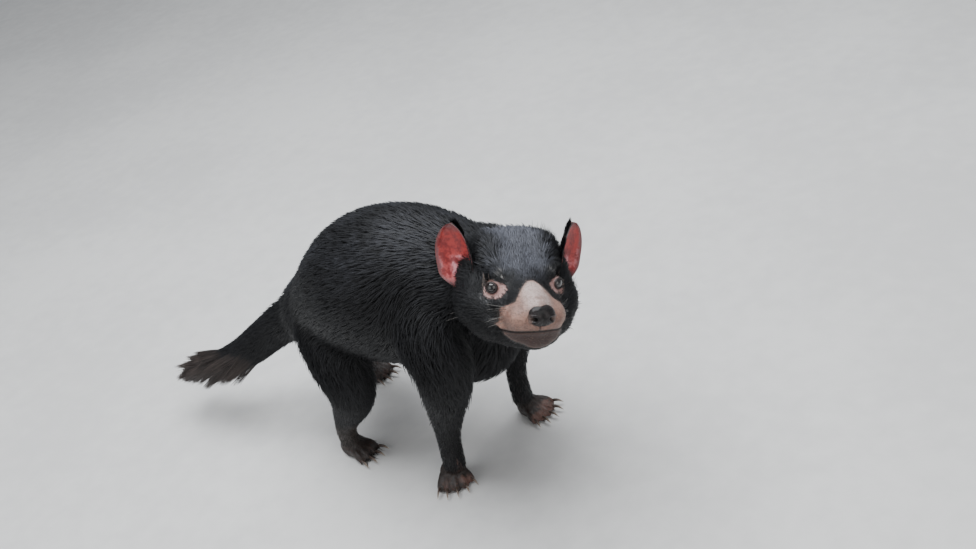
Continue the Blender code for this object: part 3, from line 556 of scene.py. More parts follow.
def marksOf(points, normals):
    # the markings that the skin and the coat share, painted shade and sheen among them, each from 0 to 1
    q = inHead(points) * 1000
    share = bodyField(points)[0]
    marks = {"bare": smoothStep(q[:, 0] - muzzleEdge(q), -faceSet["soft"], faceSet["soft"])}
    for name in ("ring", "lids", "brow", "paintedBrowShade", "eyeSide"):
        marks[name] = np.zeros(len(q))
    for side, s in sideSign.items():
        ring, out, ahead, d = eyeAngles(points, side)
        _, look, across, up = (np.array(v) for v in eyeAt(side))
        snoutwards = (d @ across) * -s * 1000
        upwards = (d @ up) * 1000
        deep = d @ look * 1000 - faceSet["opening"]
        reach = np.hypot(snoutwards / np.where(snoutwards > 0, faceSet["towards"], faceSet["away"]),
                         upwards / np.where(upwards > 0, faceSet["above"], faceSet["below"]))
        marks["ring"] += smoothStep(reach, 1.12, 0.85) * np.exp(-(deep / 14) ** 4)
        marks["eyeSide"] += smoothStep(reach, 2.0, 1.1) * np.exp(-(deep / 16) ** 4)
        marks["lids"] += smoothStep(ring, 1.50, 1.18) * (ahead > 0) * (out < 0.010)
        marks["brow"] += near(q, faceSet["brow"], faceSet["browSize"], s)
        # a dark spot of painted shade at the inner end of the brow
        marks["paintedBrowShade"] += near(q, faceSet["paintedBrowShade"], faceSet["paintedBrowShadeSize"], s)
    height, angle = mouthHeight(q / 1000)
    above = q[:, 2] - height * 1000
    front = smoothStep(mouthSet["corner"] - angle, 0, 12) * (q[:, 0] > -20)
    # painted shade along the crease where the lips meet, and in the cleft under the nose
    marks["mouth"] = np.exp(-(above / 2.0) ** 2) * front
    philtrum = np.exp(-(q[:, 1] / 1.1) ** 2) * smoothStep(q[:, 0], 35, 40) * (q[:, 2] < -17) * (above > 0)
    marks["mouth"] = np.maximum(marks["mouth"], 0.7 * philtrum)
    marks["bridge"] = smoothStep(q[:, 2], -17, -4) * smoothStep(np.abs(q[:, 1]), 15, 6)
    # painted shade under the jaw: the bare lower lip and chin are made nearly black
    marks["chin"] = smoothStep(above, 0, -3) * marks["bare"]
    # the pale bluish coat tips on the crown are partly the fur's own colour and partly painted sheen from the
    # light above; on the trunk, the tips that face up get painted sheen
    crown = smoothStep(q[:, 2], 2, 16) * smoothStep(np.abs(q[:, 1]), 32, 14) * smoothStep(q[:, 0], -62, -40)
    back = share["trunk"] * smoothStep(normals[:, 2], 0.2, 0.95) * 0.16
    marks["crown"] = np.maximum(crown * share["head"], back)
    marks["shank"] = legShare(share, ("hind",)) * smoothStep(points[:, 2], 0.062, 0.040)
    marks["paw"] = smoothStep(points[:, 2], 0.026, 0.012) * legShare(share)
    marks["toe"] = np.zeros(len(q))
    for kind, side, pink in (("fore", "left", 0.85), ("fore", "right", 0.2), ("hind", "right", 0.1),
                             ("hind", "left", 0.2)):
        place, turn, _ = toeLines(kind, side)
        local = (points - np.array(place)) @ np.array(turn)
        inner = 0.55 * smoothStep(-local[:, 1] * sideSign[side], 0.004, 0.009) if kind == "fore" else 0
        reach = smoothStep(local[:, 0], 0.008, 0.020) * (np.hypot(local[:, 0], local[:, 1]) < 0.045)
        marks["toe"] += np.clip(pink + inner, 0, 1) * reach * (points[:, 2] < 0.03)
    return {name: np.clip(values, 0, 1) for name, values in marks.items()}


def giveMarks(obj, marks):
    for name, values in marks.items():
        layer = obj.data.attributes.new(name, "FLOAT", "POINT")
        layer.data.foreach_set("value", np.ascontiguousarray(values, np.float32))


skin = makeSkin()
print("skin fused:", len(skin.data.polygons), "faces")
places = pointsOf(skin)
q = inHead(places)
isFace = (q[:, 0] > -0.015) & (np.abs(q[:, 1]) < 0.042) & (q[:, 2] > -0.045) & (q[:, 2] < 0.016)
thinned(skin, isFace | (places[:, 2] < 0.020), skinSet["bodyShare"])
places = pointsOf(skin)
movePoints(skin, places - normalsOf(skin) * coatDepth(places, bodyField(places)[0])[:, None])
middles = inHead(faceCentres(skin))
refined(skin, (middles[:, 0] > -0.013) & (np.abs(middles[:, 1]) < 0.040) & (middles[:, 2] > -0.043)
        & (middles[:, 2] < 0.010))
middles = faceCentres(skin)
refined(skin, np.minimum(*[eyeAngles(middles, side)[0] + 9 * (eyeAngles(middles, side)[2] < 0)
                           for side in sideSign]) < 2.3)
carveFace(skin)
openLids(skin)
giveMarks(skin, marksOf(pointsOf(skin), normalsOf(skin)))
print("skin carved:", len(skin.data.polygons), "faces")


def unwrap(obj, name="OFBake"):
    # an even unwrap of the piece's own shape
    for other in scene.objects:
        other.select_set(False)
    obj.select_set(True)
    bpy.context.view_layer.objects.active = obj
    obj.data.uv_layers.new(name=name)
    bpy.ops.object.mode_set(mode="EDIT")
    bpy.ops.mesh.select_all(action="SELECT")
    bpy.ops.uv.smart_project(angle_limit=math.radians(66), island_margin=0.001)
    bpy.ops.object.mode_set(mode="OBJECT")
    flat = np.empty(len(obj.data.loops) * 2, np.float32)
    obj.data.uv_layers[name].uv.foreach_get("vector", flat)
    return flat.reshape(-1, 2).astype(float)


skinUnwrap = unwrap(skin)
print("skin unwrapped")

# the coat: thin three-sided tufts that follow the lie of the hair
tuftSet = {
    # region: tufts, shortest and longest, half width at the root
    "trunk": (38000, 0.0110, 0.0190, 0.00082), "head": (24000, 0.0030, 0.0130, 0.00048),
    "fore": (12000, 0.0040, 0.0120, 0.00057), "hind": (14000, 0.0040, 0.0130, 0.00060),
    "tail": (8000, 0.0100, 0.0170, 0.00066),
    "reach": {"trunk": (0.9, 1.9), "head": (0.8, 1.5), "fore": (0.8, 1.5), "hind": (0.8, 1.5),
              "tail": (0.8, 1.4)},
    "droop": 0.30, "spread": 0.13, "patch": 0.003, "floorGap": 0.0004, "most": 19500, "ownShape": 0.85,
}
fuzzSet = {
    # region: tufts, shortest and longest, half width, least and most rise as shares of the length
    "trunk": (5500, 0.012, 0.018, 0.00045, 0.12, 0.30), "crown": (5500, 0.0045, 0.0075, 0.00028, 0.20, 0.50),
    "cheek": (4200, 0.0090, 0.0160, 0.00042, 0.12, 0.34), "ruff": (3600, 0.0140, 0.0210, 0.00060, 0.12, 0.34),
    "chest": (2200, 0.0120, 0.0190, 0.00055, 0.12, 0.36), "legs": (4200, 0.0060, 0.0110, 0.00038, 0.14, 0.32),
}
skinTree = BVHTree.FromObject(skin, bpy.context.evaluated_depsgraph_get())


def cornersOf(obj):
    obj.data.calc_loop_triangles()
    count = len(obj.data.loop_triangles)
    points, loops = np.empty(count * 3, int), np.empty(count * 3, int)
    obj.data.loop_triangles.foreach_get("vertices", points)
    obj.data.loop_triangles.foreach_get("loops", loops)
    return points.reshape(-1, 3), loops.reshape(-1, 3)


skinPoints, skinNormals = pointsOf(skin), normalsOf(skin)
skinCorners, skinLoops = cornersOf(skin)
skinShare, _, skinRows = bodyField(skinPoints)
skinMarks = marksOf(skinPoints, skinNormals)


def scatter(chance, count):
    # places spread over the skin's triangles, as many to each as its area times its chance
    a, b, c = (skinPoints[skinCorners[:, k]] for k in range(3))
    area = np.linalg.norm(np.cross(b - a, c - a), axis=1) / 2 * chance[skinCorners].mean(axis=1)
    total = np.cumsum(area)
    at = (np.arange(count) + rng.random(count)) / count * total[-1]
    pick = np.searchsorted(total, at).clip(0, len(total) - 1)
    u, v = rng.random(count), rng.random(count)
    over = u + v > 1
    u[over], v[over] = 1 - u[over], 1 - v[over]
    weights = np.c_[1 - u - v, u, v]
    place = sum(skinPoints[skinCorners[pick, k]] * weights[:, k:k + 1] for k in range(3))
    normal = unit(sum(skinNormals[skinCorners[pick, k]] * weights[:, k:k + 1] for k in range(3)))
    spot = sum(skinUnwrap[skinLoops[pick, k]] * weights[:, k:k + 1] for k in range(3))
    return place, normal, spot


def lieOfCoat(points, normals):
    share, ways, _ = bodyField(points)
    way = sum(ways[i] * share[name][:, None] for i, name in enumerate(tubes))
    way[:, 2] -= tuftSet["droop"] * (share["trunk"] + 0.5 * share["head"])
    way -= normals * (way * normals).sum(axis=1, keepdims=True)
    way = unit(way)
    return unit(way + np.cross(normals, way) * rng.normal(0, tuftSet["spread"], len(points))[:, None])


def nearestSkin(points):
    found = np.empty((len(points), 6))
    for i, p in enumerate(points):
        place, normal = skinTree.find_nearest(p)[:2]
        found[i, :3] = place
        found[i, 3:] = normal
    return found[:, :3], found[:, 3:]


def tuftMesh(name, roots, normals, ways, lengths, widths, heights, spots, rings, flat, free, bend):
    # a tuft has a few three-sided rings and a point; a free one stands off by a share of its length
    count, sides = len(roots), 3
    rows, facing, steps = [], [], []
    for r in range(rings + 1):
        t = r / rings
        if r == 0:
            middle, normal = roots - normals * 0.0004, normals
        elif free:
            middle = (roots + ways * (lengths * t)[:, None] + normals * (lengths * heights * t)[:, None]
                      + np.array((0, 0, -bend)) * (lengths * t * t)[:, None])
            normal = normals
        else:
            middle = roots + ways * (lengths * t)[:, None]
            middle, normal = nearestSkin(middle)
            middle = middle + normal * (heights * (1 - (1 - t) ** 2.0))[:, None]
        ahead = unit(ways - normal * (ways * normal).sum(axis=1, keepdims=True))
        across = np.cross(ahead, normal)
        if r == rings:
            rows.append(middle[:, None, :])
            facing.append(normals[:, None, :])
            steps.append((0.5, t))
            continue
        girth = widths * (1 - t ** 1.6 * 0.75)
        ring, shades = [], []
        for k, a in enumerate((90, 210, 330)):
            c, s = math.cos(math.radians(a)), math.sin(math.radians(a))
            side = across * c + normal * s * flat
            ring.append(middle + side * girth[:, None])
            shades.append(unit(unit(side) * tuftSet["ownShape"] + normals))
            steps.append((k / sides, t))
        rows.append(np.stack(ring, axis=1))
        facing.append(np.stack(shades, axis=1))
    points = np.concatenate(rows, axis=1).reshape(-1, 3)
    points[:, 2] = np.maximum(points[:, 2], tuftSet["floorGap"])
    shades = np.concatenate(facing, axis=1).reshape(-1, 3)
    per = rings * sides + 1
    one = [(0, 1, 2)]
    for r in range(rings - 1):
        for k in range(sides):
            n = (k + 1) % sides
            a, b = r * sides, (r + 1) * sides
            one += [(a + k, b + k, a + n), (a + n, b + k, b + n)]
    last = (rings - 1) * sides
    one += [(last + k, per - 1, last + (k + 1) % sides) for k in range(sides)]
    one = np.array(one)
    corners = (one[None] + (np.arange(count) * per)[:, None, None]).reshape(-1, 3)
    made = bpy.data.meshes.new(name)
    made.vertices.add(len(points))
    made.vertices.foreach_set("co", points.ravel())
    made.loops.add(corners.size)
    made.loops.foreach_set("vertex_index", corners.ravel())
    made.polygons.add(len(corners))
    made.polygons.foreach_set("loop_start", np.arange(len(corners)) * 3)
    made.polygons.foreach_set("loop_total", np.full(len(corners), 3))
    made.update(calc_edges=True)
    made.shade_smooth()
    made.normals_split_custom_set_from_vertices(shades)
    steps = np.array(steps)
    patch = (spots[:, None, :] + (steps[None] - 0.5) * tuftSet["patch"]).reshape(-1, 2)
    layer = made.uv_layers.new(name="OFBake")
    layer.uv.foreach_set("vector", patch[corners.ravel()].astype(np.float32).ravel())
    obj = bpy.data.objects.new(name, made)
    scene.collection.objects.link(obj)
    giveMarks(obj, {"along": np.tile(steps[:, 1], count), "strand": np.repeat(rng.random(count), per)})
    return obj, per


coatPieces = []


def grow(name, roots, normals, ways, lengths, widths, heights, spots, rings=2, flat=0.55, free=False,
         bend=0.0,
         marks=None):
    obj, per = tuftMesh(name, roots, normals, ways, lengths, widths, heights, spots, rings, flat, free, bend)
    marks = marks or marksOf(roots, normals)
    giveMarks(obj, {mark: np.repeat(marks[mark], per)
                    for mark in ("crown", "shank", "brow", "bare", "ring", "paw")})
    coatPieces.append(obj)
    return obj


def growCoat():
    furry = (1 - skinMarks["bare"]) * (1 - skinMarks["ring"]) * (1 - skinMarks["lids"])
    standing = smoothStep(skinPoints[:, 2], 0.010, 0.024)
    chances = {
        "trunk": skinShare["trunk"], "head": skinShare["head"] * furry,
        "fore": legShare(skinShare, ("fore",)) * standing, "hind": legShare(skinShare, ("hind",)) * standing,
        "tail": skinShare["tail"],
    }
    for region, chance in chances.items():
        count, short, long, width = tuftSet[region]
        places, normals, spots = scatter(chance, count)
        depths = coatDepth(places, bodyField(places)[0])
        way = lieOfCoat(places, normals)
        thick = np.clip(depths / coatSet["trunkDepth"], 0.06, 1)
        marks = marksOf(places, normals)
        byEye = 1 - 0.65 * marks["eyeSide"]  # short hair near the eye
        lengths = (short + (long - short) * thick) * rng.uniform(0.7, 1.2, count) * byEye
        widths = width * rng.uniform(0.75, 1.25, count) * (0.55 + 0.65 * thick) * (0.4 + 0.6 * byEye)
        heights = depths * rng.uniform(*tuftSet["reach"][region], count) * byEye
        parts = 2 if region in ("fore", "hind") else math.ceil(count / tuftSet["most"])
        order = np.argsort(places[:, 1] if region in ("fore", "hind") else places[:, 0])
        for i, chosen in enumerate(np.array_split(order, parts)):
            grow(f"coat_{region}_{i + 1}", places[chosen], normals[chosen], way[chosen], lengths[chosen],
                 widths[chosen], heights[chosen], spots[chosen])
        print("coat:", region, count, "tufts in", parts)


def growFuzz():
    # longer hairs that stand off, so that the outline is soft
    q = inHead(skinPoints)
    behind = muzzleEdge(q * 1000) / 1000 - q[:, 0]
    furry = (1 - skinMarks["bare"]) * (1 - skinMarks["ring"]) * (1 - skinMarks["lids"])
    low = smoothStep(-q[:, 2], -0.004, 0.014)
    chances = {
        "trunk": skinShare["trunk"] + 0.5 * skinShare["tail"],
        "crown": skinShare["head"] * furry * (1 - skinMarks["eyeSide"]) * smoothStep(behind, 0.004, 0.014)
        * (1 - low),
        "cheek": skinShare["head"] * furry * (1 - skinMarks["eyeSide"]) * smoothStep(behind, 0.010, 0.022)
        * low,
        "ruff": (skinShare["head"] + 0.6 * skinShare["trunk"]) * smoothStep(behind, 0.032, 0.044)
                * smoothStep(-behind, -0.085, -0.070) * low * smoothStep(skinPoints[:, 2], 0.16, 0.18),
        "chest": smoothStep(-skinNormals[:, 2], 0.1, 0.7) * smoothStep(skinPoints[:, 0], 0.06, 0.09)
                 * smoothStep(skinPoints[:, 2], 0.10, 0.12)
                 * (skinShare["trunk"] + 0.3 * legShare(skinShare)),
        "legs": legShare(skinShare) * smoothStep(skinPoints[:, 2], 0.024, 0.050),
    }
    for region, chance in chances.items():
        count, short, long, width, least, most = fuzzSet[region]
        places, normals, spots = scatter(chance, count)
        grow("fuzz_" + region, places, normals, lieOfCoat(places, normals), rng.uniform(short, long, count),
             width * rng.uniform(0.7, 1.2, count), rng.uniform(least, most, count), spots, free=True,
             bend=0.06)
    print("fuzz:", ", ".join(chances))


growCoat()
growFuzz()


# the brush of stiff hair on the end of the tail
brushSet = {"count": 6500, "locks": 90, "from": 0.36, "long": 0.060, "short": 0.036, "halfWidth": 0.00046,
            "spread": 0.10, "stray": 0.10, "bend": 0.07, "gather": 0.72}


def growBrush():
    chance = skinShare["tail"] * smoothStep(skinRows["tail"], brushSet["from"], brushSet["from"] + 0.15)
    chance *= 1 + 2.5 * smoothStep(skinRows["tail"], 0.6, 1.0)
    count = brushSet["count"]
    places, normals, spots = scatter(chance, count)
    _, ways, rows = bodyField(places)
    way = unit(ways[list(tubes).index("tail")] + rng.normal(0, brushSet["stray"] * 0.5, (count, 3)))
    far = smoothStep(rows["tail"], brushSet["from"], 1.0)
    length = (brushSet["long"] + (brushSet["short"] - brushSet["long"]) * far) * rng.uniform(0.65, 1.15,
                                                                                             count)
    tips = places + way * length[:, None] + normals * (length * brushSet["spread"] * (0.3 + 1.9 * far))[:,
                                                                                                        None]
    # the bristles gather into pointed locks
    leaders = rng.choice(count, brushSet["locks"], replace=False)
    gap = np.linalg.norm(places[:, None] - places[leaders][None], axis=2)
    lead = leaders[gap.argmin(axis=1)]
    swing = rng.normal(0, brushSet["stray"] * 0.05, (count, 3))[lead]
    tips += (tips[lead] + swing - tips) * (brushSet["gather"] * rng.uniform(0.6, 1.1, count))[:, None]
    length = np.linalg.norm(tips - places, axis=1)
    way = (tips - places) / length[:, None]
    grow("tail_brush", places, normals, way, length, brushSet["halfWidth"] * rng.uniform(0.7, 1.3, count),
         np.zeros(count), spots, rings=4, flat=0.6, free=True, bend=brushSet["bend"])
    print("tail brush:", count, "bristles")


# ears
earSet = {
    "root": (-0.0410, 0.0525, -0.0080), "facing": (0.68, 0.72, -0.12), "up": (0.07, 0.10, 0.99),
    "height": {"right": 0.0575, "left": 0.0525}, "halfWidth": 0.0182, "hollow": 0.0100,
    "lean": (0.0090, 0.0058),  # how far the front and the outer edge of the foot are drawn aside
    "foot": ((0.50, 0.48), (0.95, 0.24)),  # how much each edge narrows at the foot, and up to what height
    "point": 0.60, "thick": 0.0016, "rows": 44, "columns": 30, "hairs": 2600, "rootHairs": 2000,
    "edgeHairs": 700,
    "beside": (-0.044, 0.037, 0.018),  # the fur between the crown and the ear grows round this place
}


def earFrame(side):
    s = sideSign[side]
    turn = headAt.to_3x3()
    facing = Vector((earSet["facing"][0], earSet["facing"][1] * s, earSet["facing"][2])).normalized()
    up = Vector((earSet["up"][0], earSet["up"][1] * s, earSet["up"][2]))
    up = (up - facing * up.dot(facing)).normalized()
    across = up.cross(facing) * s
    base = Vector((earSet["root"][0], earSet["root"][1] * s, earSet["root"][2]))
    return [np.array(headAt @ base)] + [np.array(turn @ v) for v in (across, up, facing)]


def earWidth(u, v):
    narrowing = np.where(u < 0, earSet["foot"][0][0], earSet["foot"][1][0])
    height = np.where(u < 0, earSet["foot"][0][1], earSet["foot"][1][1])
    low = 1 - narrowing * np.maximum(0, 1 - v / height) ** 2
    high = np.maximum(1 - (np.maximum(v - 0.48, 0) / 0.52) ** 2, 0) ** earSet["point"]
    return np.where(v < 0.48, low, high)


def earPoint(side, u, v):
    # u runs from the front edge, -1, to the outer edge, 1, and v from the root, 0, to the tip, 1
    base, across, up, facing = earFrame(side)
    front, outer = earSet["lean"]
    sunk = (front * (1 - u) + outer * (1 + u)) / 2 * (1 - v) ** 2
    hollow = earSet["hollow"] * np.maximum(1 - u * u, 0) ** 0.8 * np.sin(math.pi * (0.20 + 0.70 * v))
    return (base + across * (u * earSet["halfWidth"] * earWidth(u, v) - sunk)[..., None]
            + up * (earSet["height"][side] * v)[..., None] - facing * (hollow + 0.0030 * v * v)[..., None])


def bump(x, y, centre, size):
    return np.exp(-((x - centre[0]) / size[0]) ** 2 - ((y - centre[1]) / size[1]) ** 2)


def makeEar(side):
    rows, columns = earSet["rows"], earSet["columns"]
    v, u = np.meshgrid(np.sin(0.49 * math.pi * np.arange(rows) / (rows - 1)),
                       np.sin(0.5 * math.pi * np.linspace(-1, 1, columns)), indexing="ij")
    middle = earPoint(side, u, v)
    facing = earFrame(side)[3]
    half = earSet["thick"] / 2 * (1 - 0.55 * np.maximum(np.abs(u), v * v) ** 4)
    # ridges of gristle low in the hollow, a groove behind each, and a rolled edge
    slant = v - 0.1
    ridge = 0.0021 * bump(u - 0.9 * slant, v, (-0.30, 0.24), (0.15, 0.12))
    ridge += 0.0019 * bump(u - 0.6 * slant, v, (0.15, 0.30), (0.13, 0.12))
    ridge += 0.0015 * bump(u + 0.5 * slant, v, (-0.05, 0.44), (0.42, 0.035))
    ridge -= 0.0011 * bump(u - 0.8 * slant, v, (-0.06, 0.25), (0.08, 0.12))
    ridge -= 0.0010 * bump(u + 0.5 * slant, v, (-0.05, 0.385), (0.36, 0.03))
    ridge += 0.0009 * np.exp(-((np.abs(u) - 0.88) / 0.06) ** 2) * smoothStep(v, 0.10, 0.35)
    front = middle + facing * (half + ridge)[..., None]
    back = middle - facing * half[..., None]
    points = np.concatenate([front.reshape(-1, 3), back.reshape(-1, 3)])
    size = rows * columns
    faces = []
    for r in range(rows - 1):
        for c in range(columns - 1):
            a = r * columns + c
            quad = (a, a + 1, a + 1 + columns, a + columns)
            faces += [quad, tuple(size + k for k in reversed(quad))]
    rim = ([r * columns for r in range(rows)] + [(rows - 1) * columns + c for c in range(1, columns)]
           + [r * columns + columns - 1 for r in range(rows - 2, -1, -1)] + list(range(columns - 2, 0, -1)))
    for k, a in enumerate(rim):
        b = rim[(k + 1) % len(rim)]
        faces.append((a, size + a, size + b, b))
    ear = meshObject("pinna_" + side, points, faces)
    raised = np.clip(ridge / 0.0018, 0, 1)
    inner = np.ones_like(u)
    edge = smoothStep(np.maximum(np.abs(u), v), 0.80, 1.0)
    # painted highlight: pale pink on the tops of the gristle ridges and low in the hollow
    pink = np.clip(raised + 0.55 * bump(u, v, (0.10, 0.20), (0.60, 0.14)), 0, 1) * smoothStep(v, 0.60, 0.40)
    giveMarks(ear, {name: np.concatenate([front.ravel(), back.ravel()]) for name, front, back in (
        ("inner", inner, 0 * u), ("edge", edge, edge), ("pink", pink, 0 * u), ("height", v, v))})
    form = bmesh.new()
    form.from_mesh(ear.data)
    bmesh.ops.remove_doubles(form, verts=form.verts, dist=0.00002)
    bmesh.ops.recalc_face_normals(form, faces=form.faces)
    form.to_mesh(ear.data)
    form.free()
    ear.data.shade_smooth()
    return ear


def growEarHair(side):
    # short hair on the back of the ear and a fringe past its edge
    count = earSet["hairs"]
    u = rng.uniform(-0.985, 0.985, count)
    v = rng.uniform(0.02, 0.97, count)
    facing = earFrame(side)[3]
    roots = earPoint(side, u, v) - facing * (earSet["thick"] / 2)
    ahead = unit(earPoint(side, u, np.minimum(v + 0.03, 1)) - earPoint(side, u, v))
    aside = unit(earPoint(side, np.minimum(u + 0.03, 1), v) - earPoint(side, u, v))
    way = unit(ahead + aside * (0.5 * u)[:, None] + rng.normal(0, 0.15, (count, 3)))
    length = rng.uniform(0.0030, 0.0055, count) * (1 - 0.45 * v)
    none = {name: np.zeros(count) for name in skinMarks}
    grow("ear_coat_" + side, roots, np.tile(-facing, (count, 1)), way, length,
         rng.uniform(0.00022, 0.00036, count),
         rng.uniform(0.05, 0.22, count), np.c_[0.5 + 0.45 * u, 0.05 + 0.9 * v], free=True, marks=none)
    # longer dark hair in front of the ear's foot
    base = earPoint(side, np.full(1, -0.75), np.full(1, 0.10))[0]
    beside = fromHead([(earSet["beside"][0], earSet["beside"][1] * sideSign[side], earSet["beside"][2])])[0]
    count = earSet["rootHairs"]
    chance = np.exp(-(np.linalg.norm(skinPoints - base, axis=1) / 0.0115) ** 2)
    chance += np.exp(-(np.linalg.norm(skinPoints - beside, axis=1) / 0.0100) ** 2)
    roots, normals, spots = scatter(chance, count)
    _, across, up, _ = earFrame(side)
    way = unit(up - across * 0.10 - facing * 0.15 + normals * 0.15 + rng.normal(0, 0.16, (count, 3)))
    grow("ear_root_" + side, roots, normals, way, rng.uniform(0.0065, 0.0135, count),
         rng.uniform(0.00032, 0.00055, count), rng.uniform(0.0, 0.18, count), spots, free=True)
    # hairs that lie along the front edge and over it
    count = earSet["edgeHairs"]
    u, v = rng.uniform(-1.0, -0.80, count), rng.uniform(0.0, 0.72, count)
    roots = earPoint(side, u, v)
    way = unit(up + across * (0.10 + rng.normal(0, 0.22, count))[:, None] + facing * 0.05)
    grow("ear_edge_" + side, roots, np.tile(facing, (count, 1)), way, rng.uniform(0.0050, 0.0095, count)
         * (1 - 0.4 * v),
         rng.uniform(0.00020, 0.00036, count), rng.uniform(0.0, 0.20, count),
         np.c_[0.5 + 0.45 * u, 0.05 + 0.9 * v],
         free=True, marks={name: np.zeros(count) for name in skinMarks})
    # a dark tassel behind the tip
    count = earSet["edgeHairs"] // 2
    u, v = rng.uniform(-0.95, 0.3, count), rng.uniform(0.80, 0.97, count)
    roots = earPoint(side, u, v) - facing * (earSet["thick"] / 2)
    way = unit(up + across * rng.normal(-0.05, 0.25, count)[:, None])
    grow("ear_tip_" + side, roots, np.tile(-facing, (count, 1)), way, rng.uniform(0.0035, 0.0070, count),
         rng.uniform(0.00022, 0.00036, count), rng.uniform(0.0, 0.12, count),
         np.c_[0.5 + 0.45 * u, 0.05 + 0.9 * v],
         free=True, marks={name: np.zeros(count) for name in skinMarks})


# nose
noseSet = {"place": (0.0445, 0.0012, -0.0140), "size": (0.0072, 0.0114, 0.0092),
           "nostril": (0.66, 0.60, -0.20),
           "pit": 0.0030, "wing": 0.0009, "cleft": 0.0009}


def makeNose():
    around, rows = 72, 48
    points, faces = ball((0, 0, 0), (1, 1, 1), None, around, rows)
    d = np.array([tuple(p) for p in points])
    out = np.ones(len(d))
    pits = np.zeros(len(d))
    for s in sideSign.values():
        aim = unit(np.array((noseSet["nostril"][0], noseSet["nostril"][1] * s, noseSet["nostril"][2])))
        gap = d - aim
        gap -= aim * (gap @ aim)[:, None]
        # the nostril is a comma: round in front, drawn out backwards along the side
        aside = gap[:, 1] * s
        far = np.sqrt((aside / np.where(aside > 0, 0.34, 0.20)) ** 2
                      + ((gap[:, 2] + 0.10 * aside) / 0.17) ** 2)
        out -= noseSet["pit"] / 0.0095 * np.exp(-far ** 3)
        out += noseSet["wing"] / 0.0095 * np.exp(-((far - 1.7) / 0.5) ** 2)
        pits += np.exp(-far ** 3)
    front = smoothStep(d[:, 0], 0.2, 0.6)
    out -= noseSet["cleft"] / 0.0095 * np.exp(-(d[:, 1] / 0.09) ** 2) * front * smoothStep(d[:, 2], 0.45, 0.0)
    wings = smoothStep(np.abs(d[:, 1]), 0.62, 0.92) * smoothStep(-d[:, 2], -0.35, 0.25)
    d = np.sign(d) * np.abs(d) ** 0.90 * out[:, None] * np.array(noseSet["size"])
    nose = meshObject("nose_pad", fromHead(d + np.array(noseSet["place"])), faces)
    # pit marks the nostrils for painted shade; wing marks the nostril wings, whose pale tone is partly their
    # own paler skin and partly a painted highlight
    giveMarks(nose, {"pit": np.clip(pits, 0, 1), "wing": wings})
    return nose


def makeEye(side):
    centre, look, across, up = eyeAt(side)
    around, rows = 48, 36
    points, faces = ball((0, 0, 0), (1, 1, 1), None, around, rows)
    d = np.array([tuple(p) for p in points])
    bulge = 1 + 0.045 * np.exp(-((1 - d[:, 0]) / 0.16) ** 2)
    eye = meshObject("eyeball_" + side, d * (bulge * headSet["eyeRadius"])[:, None], faces)
    giveMarks(eye, {"offAxis": np.degrees(np.arccos(np.clip(unit(d)[:, 0], -1, 1))) / 90})
    eye.matrix_world = Matrix.Translation(centre) @ Matrix((look, across, up)).transposed().to_4x4()
    return eye


clawSet = {"length": 0.0085, "halfWidth": 0.00122, "halfHeight": 0.0017, "height": 0.0062,
           # how far along, how far down, how thick
           "rows": [(-0.40, 0, 1), (-0.1, 0.012, 1.02), (0.15, 0.02, 1), (0.40, -0.03, 0.84),
                    (0.62, -0.14, 0.62),
                    (0.82, -0.27, 0.38), (1, -0.40, 0.14)]}


def makeClaws(kind, side):
    points, faces, tips = [], [], []
    for root, tip, aim in toeLines(kind, side)[2]:
        start = tip + aim * pawSet["toeRadius"] - shift
        stations = []
        for t, drop, thick in clawSet["rows"]:
            lift = Vector((0, 0, clawSet["height"] + clawSet["length"] * drop))
            stations.append((tuple(start + aim * (clawSet["length"] * t) + lift), clawSet["halfWidth"]
                             * thick,
                             clawSet["halfHeight"] * thick))
        somePoints, someFaces = limb(stations, 16, 3)
        base = len(points)
        points += somePoints
        tips += list(np.repeat(np.linspace(0, 1, len(somePoints) // 16), 16))
        faces += [tuple(base + i for i in f) for f in someFaces]
    claws = meshObject(f"claws_{kind}_{side}", points, faces)
    giveMarks(claws, {"tip": np.array(tips)})
    return claws


whiskerSet = {
    "radius": 0.00015, "browRadius": 0.00009, "steps": 9, "sides": 4, "rows": 5, "columns": 6,
    "front": 0.030, "top": -0.0105, "columnGap": 0.0042, "rowGap": 0.0032, "short": 0.028, "longer": 0.0070,
    "browHairs": 5, "browLength": 0.010,
}


def whiskerMesh(name, hairs, radius):
    steps, sides = whiskerSet["steps"], whiskerSet["sides"]
    points, faces, alongs = [], [], []
    for root, way, length, bend in hairs:
        base = len(points)
        line = [np.array(root) + np.array(way) * (length * t) + np.array(bend) * (length * t * t)
                for t in np.linspace(0, 1, steps)]
        for i, p in enumerate(line):
            ahead = unit(line[min(i + 1, steps - 1)] - line[max(i - 1, 0)])
            across = unit(np.cross(ahead, (0.1, 0.2, 0.97)))
            up = np.cross(across, ahead)
            girth = radius * (1 - 0.85 * i / (steps - 1))
            for k in range(sides):
                a = 2 * math.pi * k / sides
                points.append(p + across * (girth * math.cos(a)) + up * (girth * math.sin(a)))
            alongs += [i / (steps - 1)] * sides
        faces += [tuple(base + i for i in f) for f in tubeFaces(steps, sides)]
    made = meshObject(name, points, faces)
    giveMarks(made, {"along": np.array(alongs)})
    return made


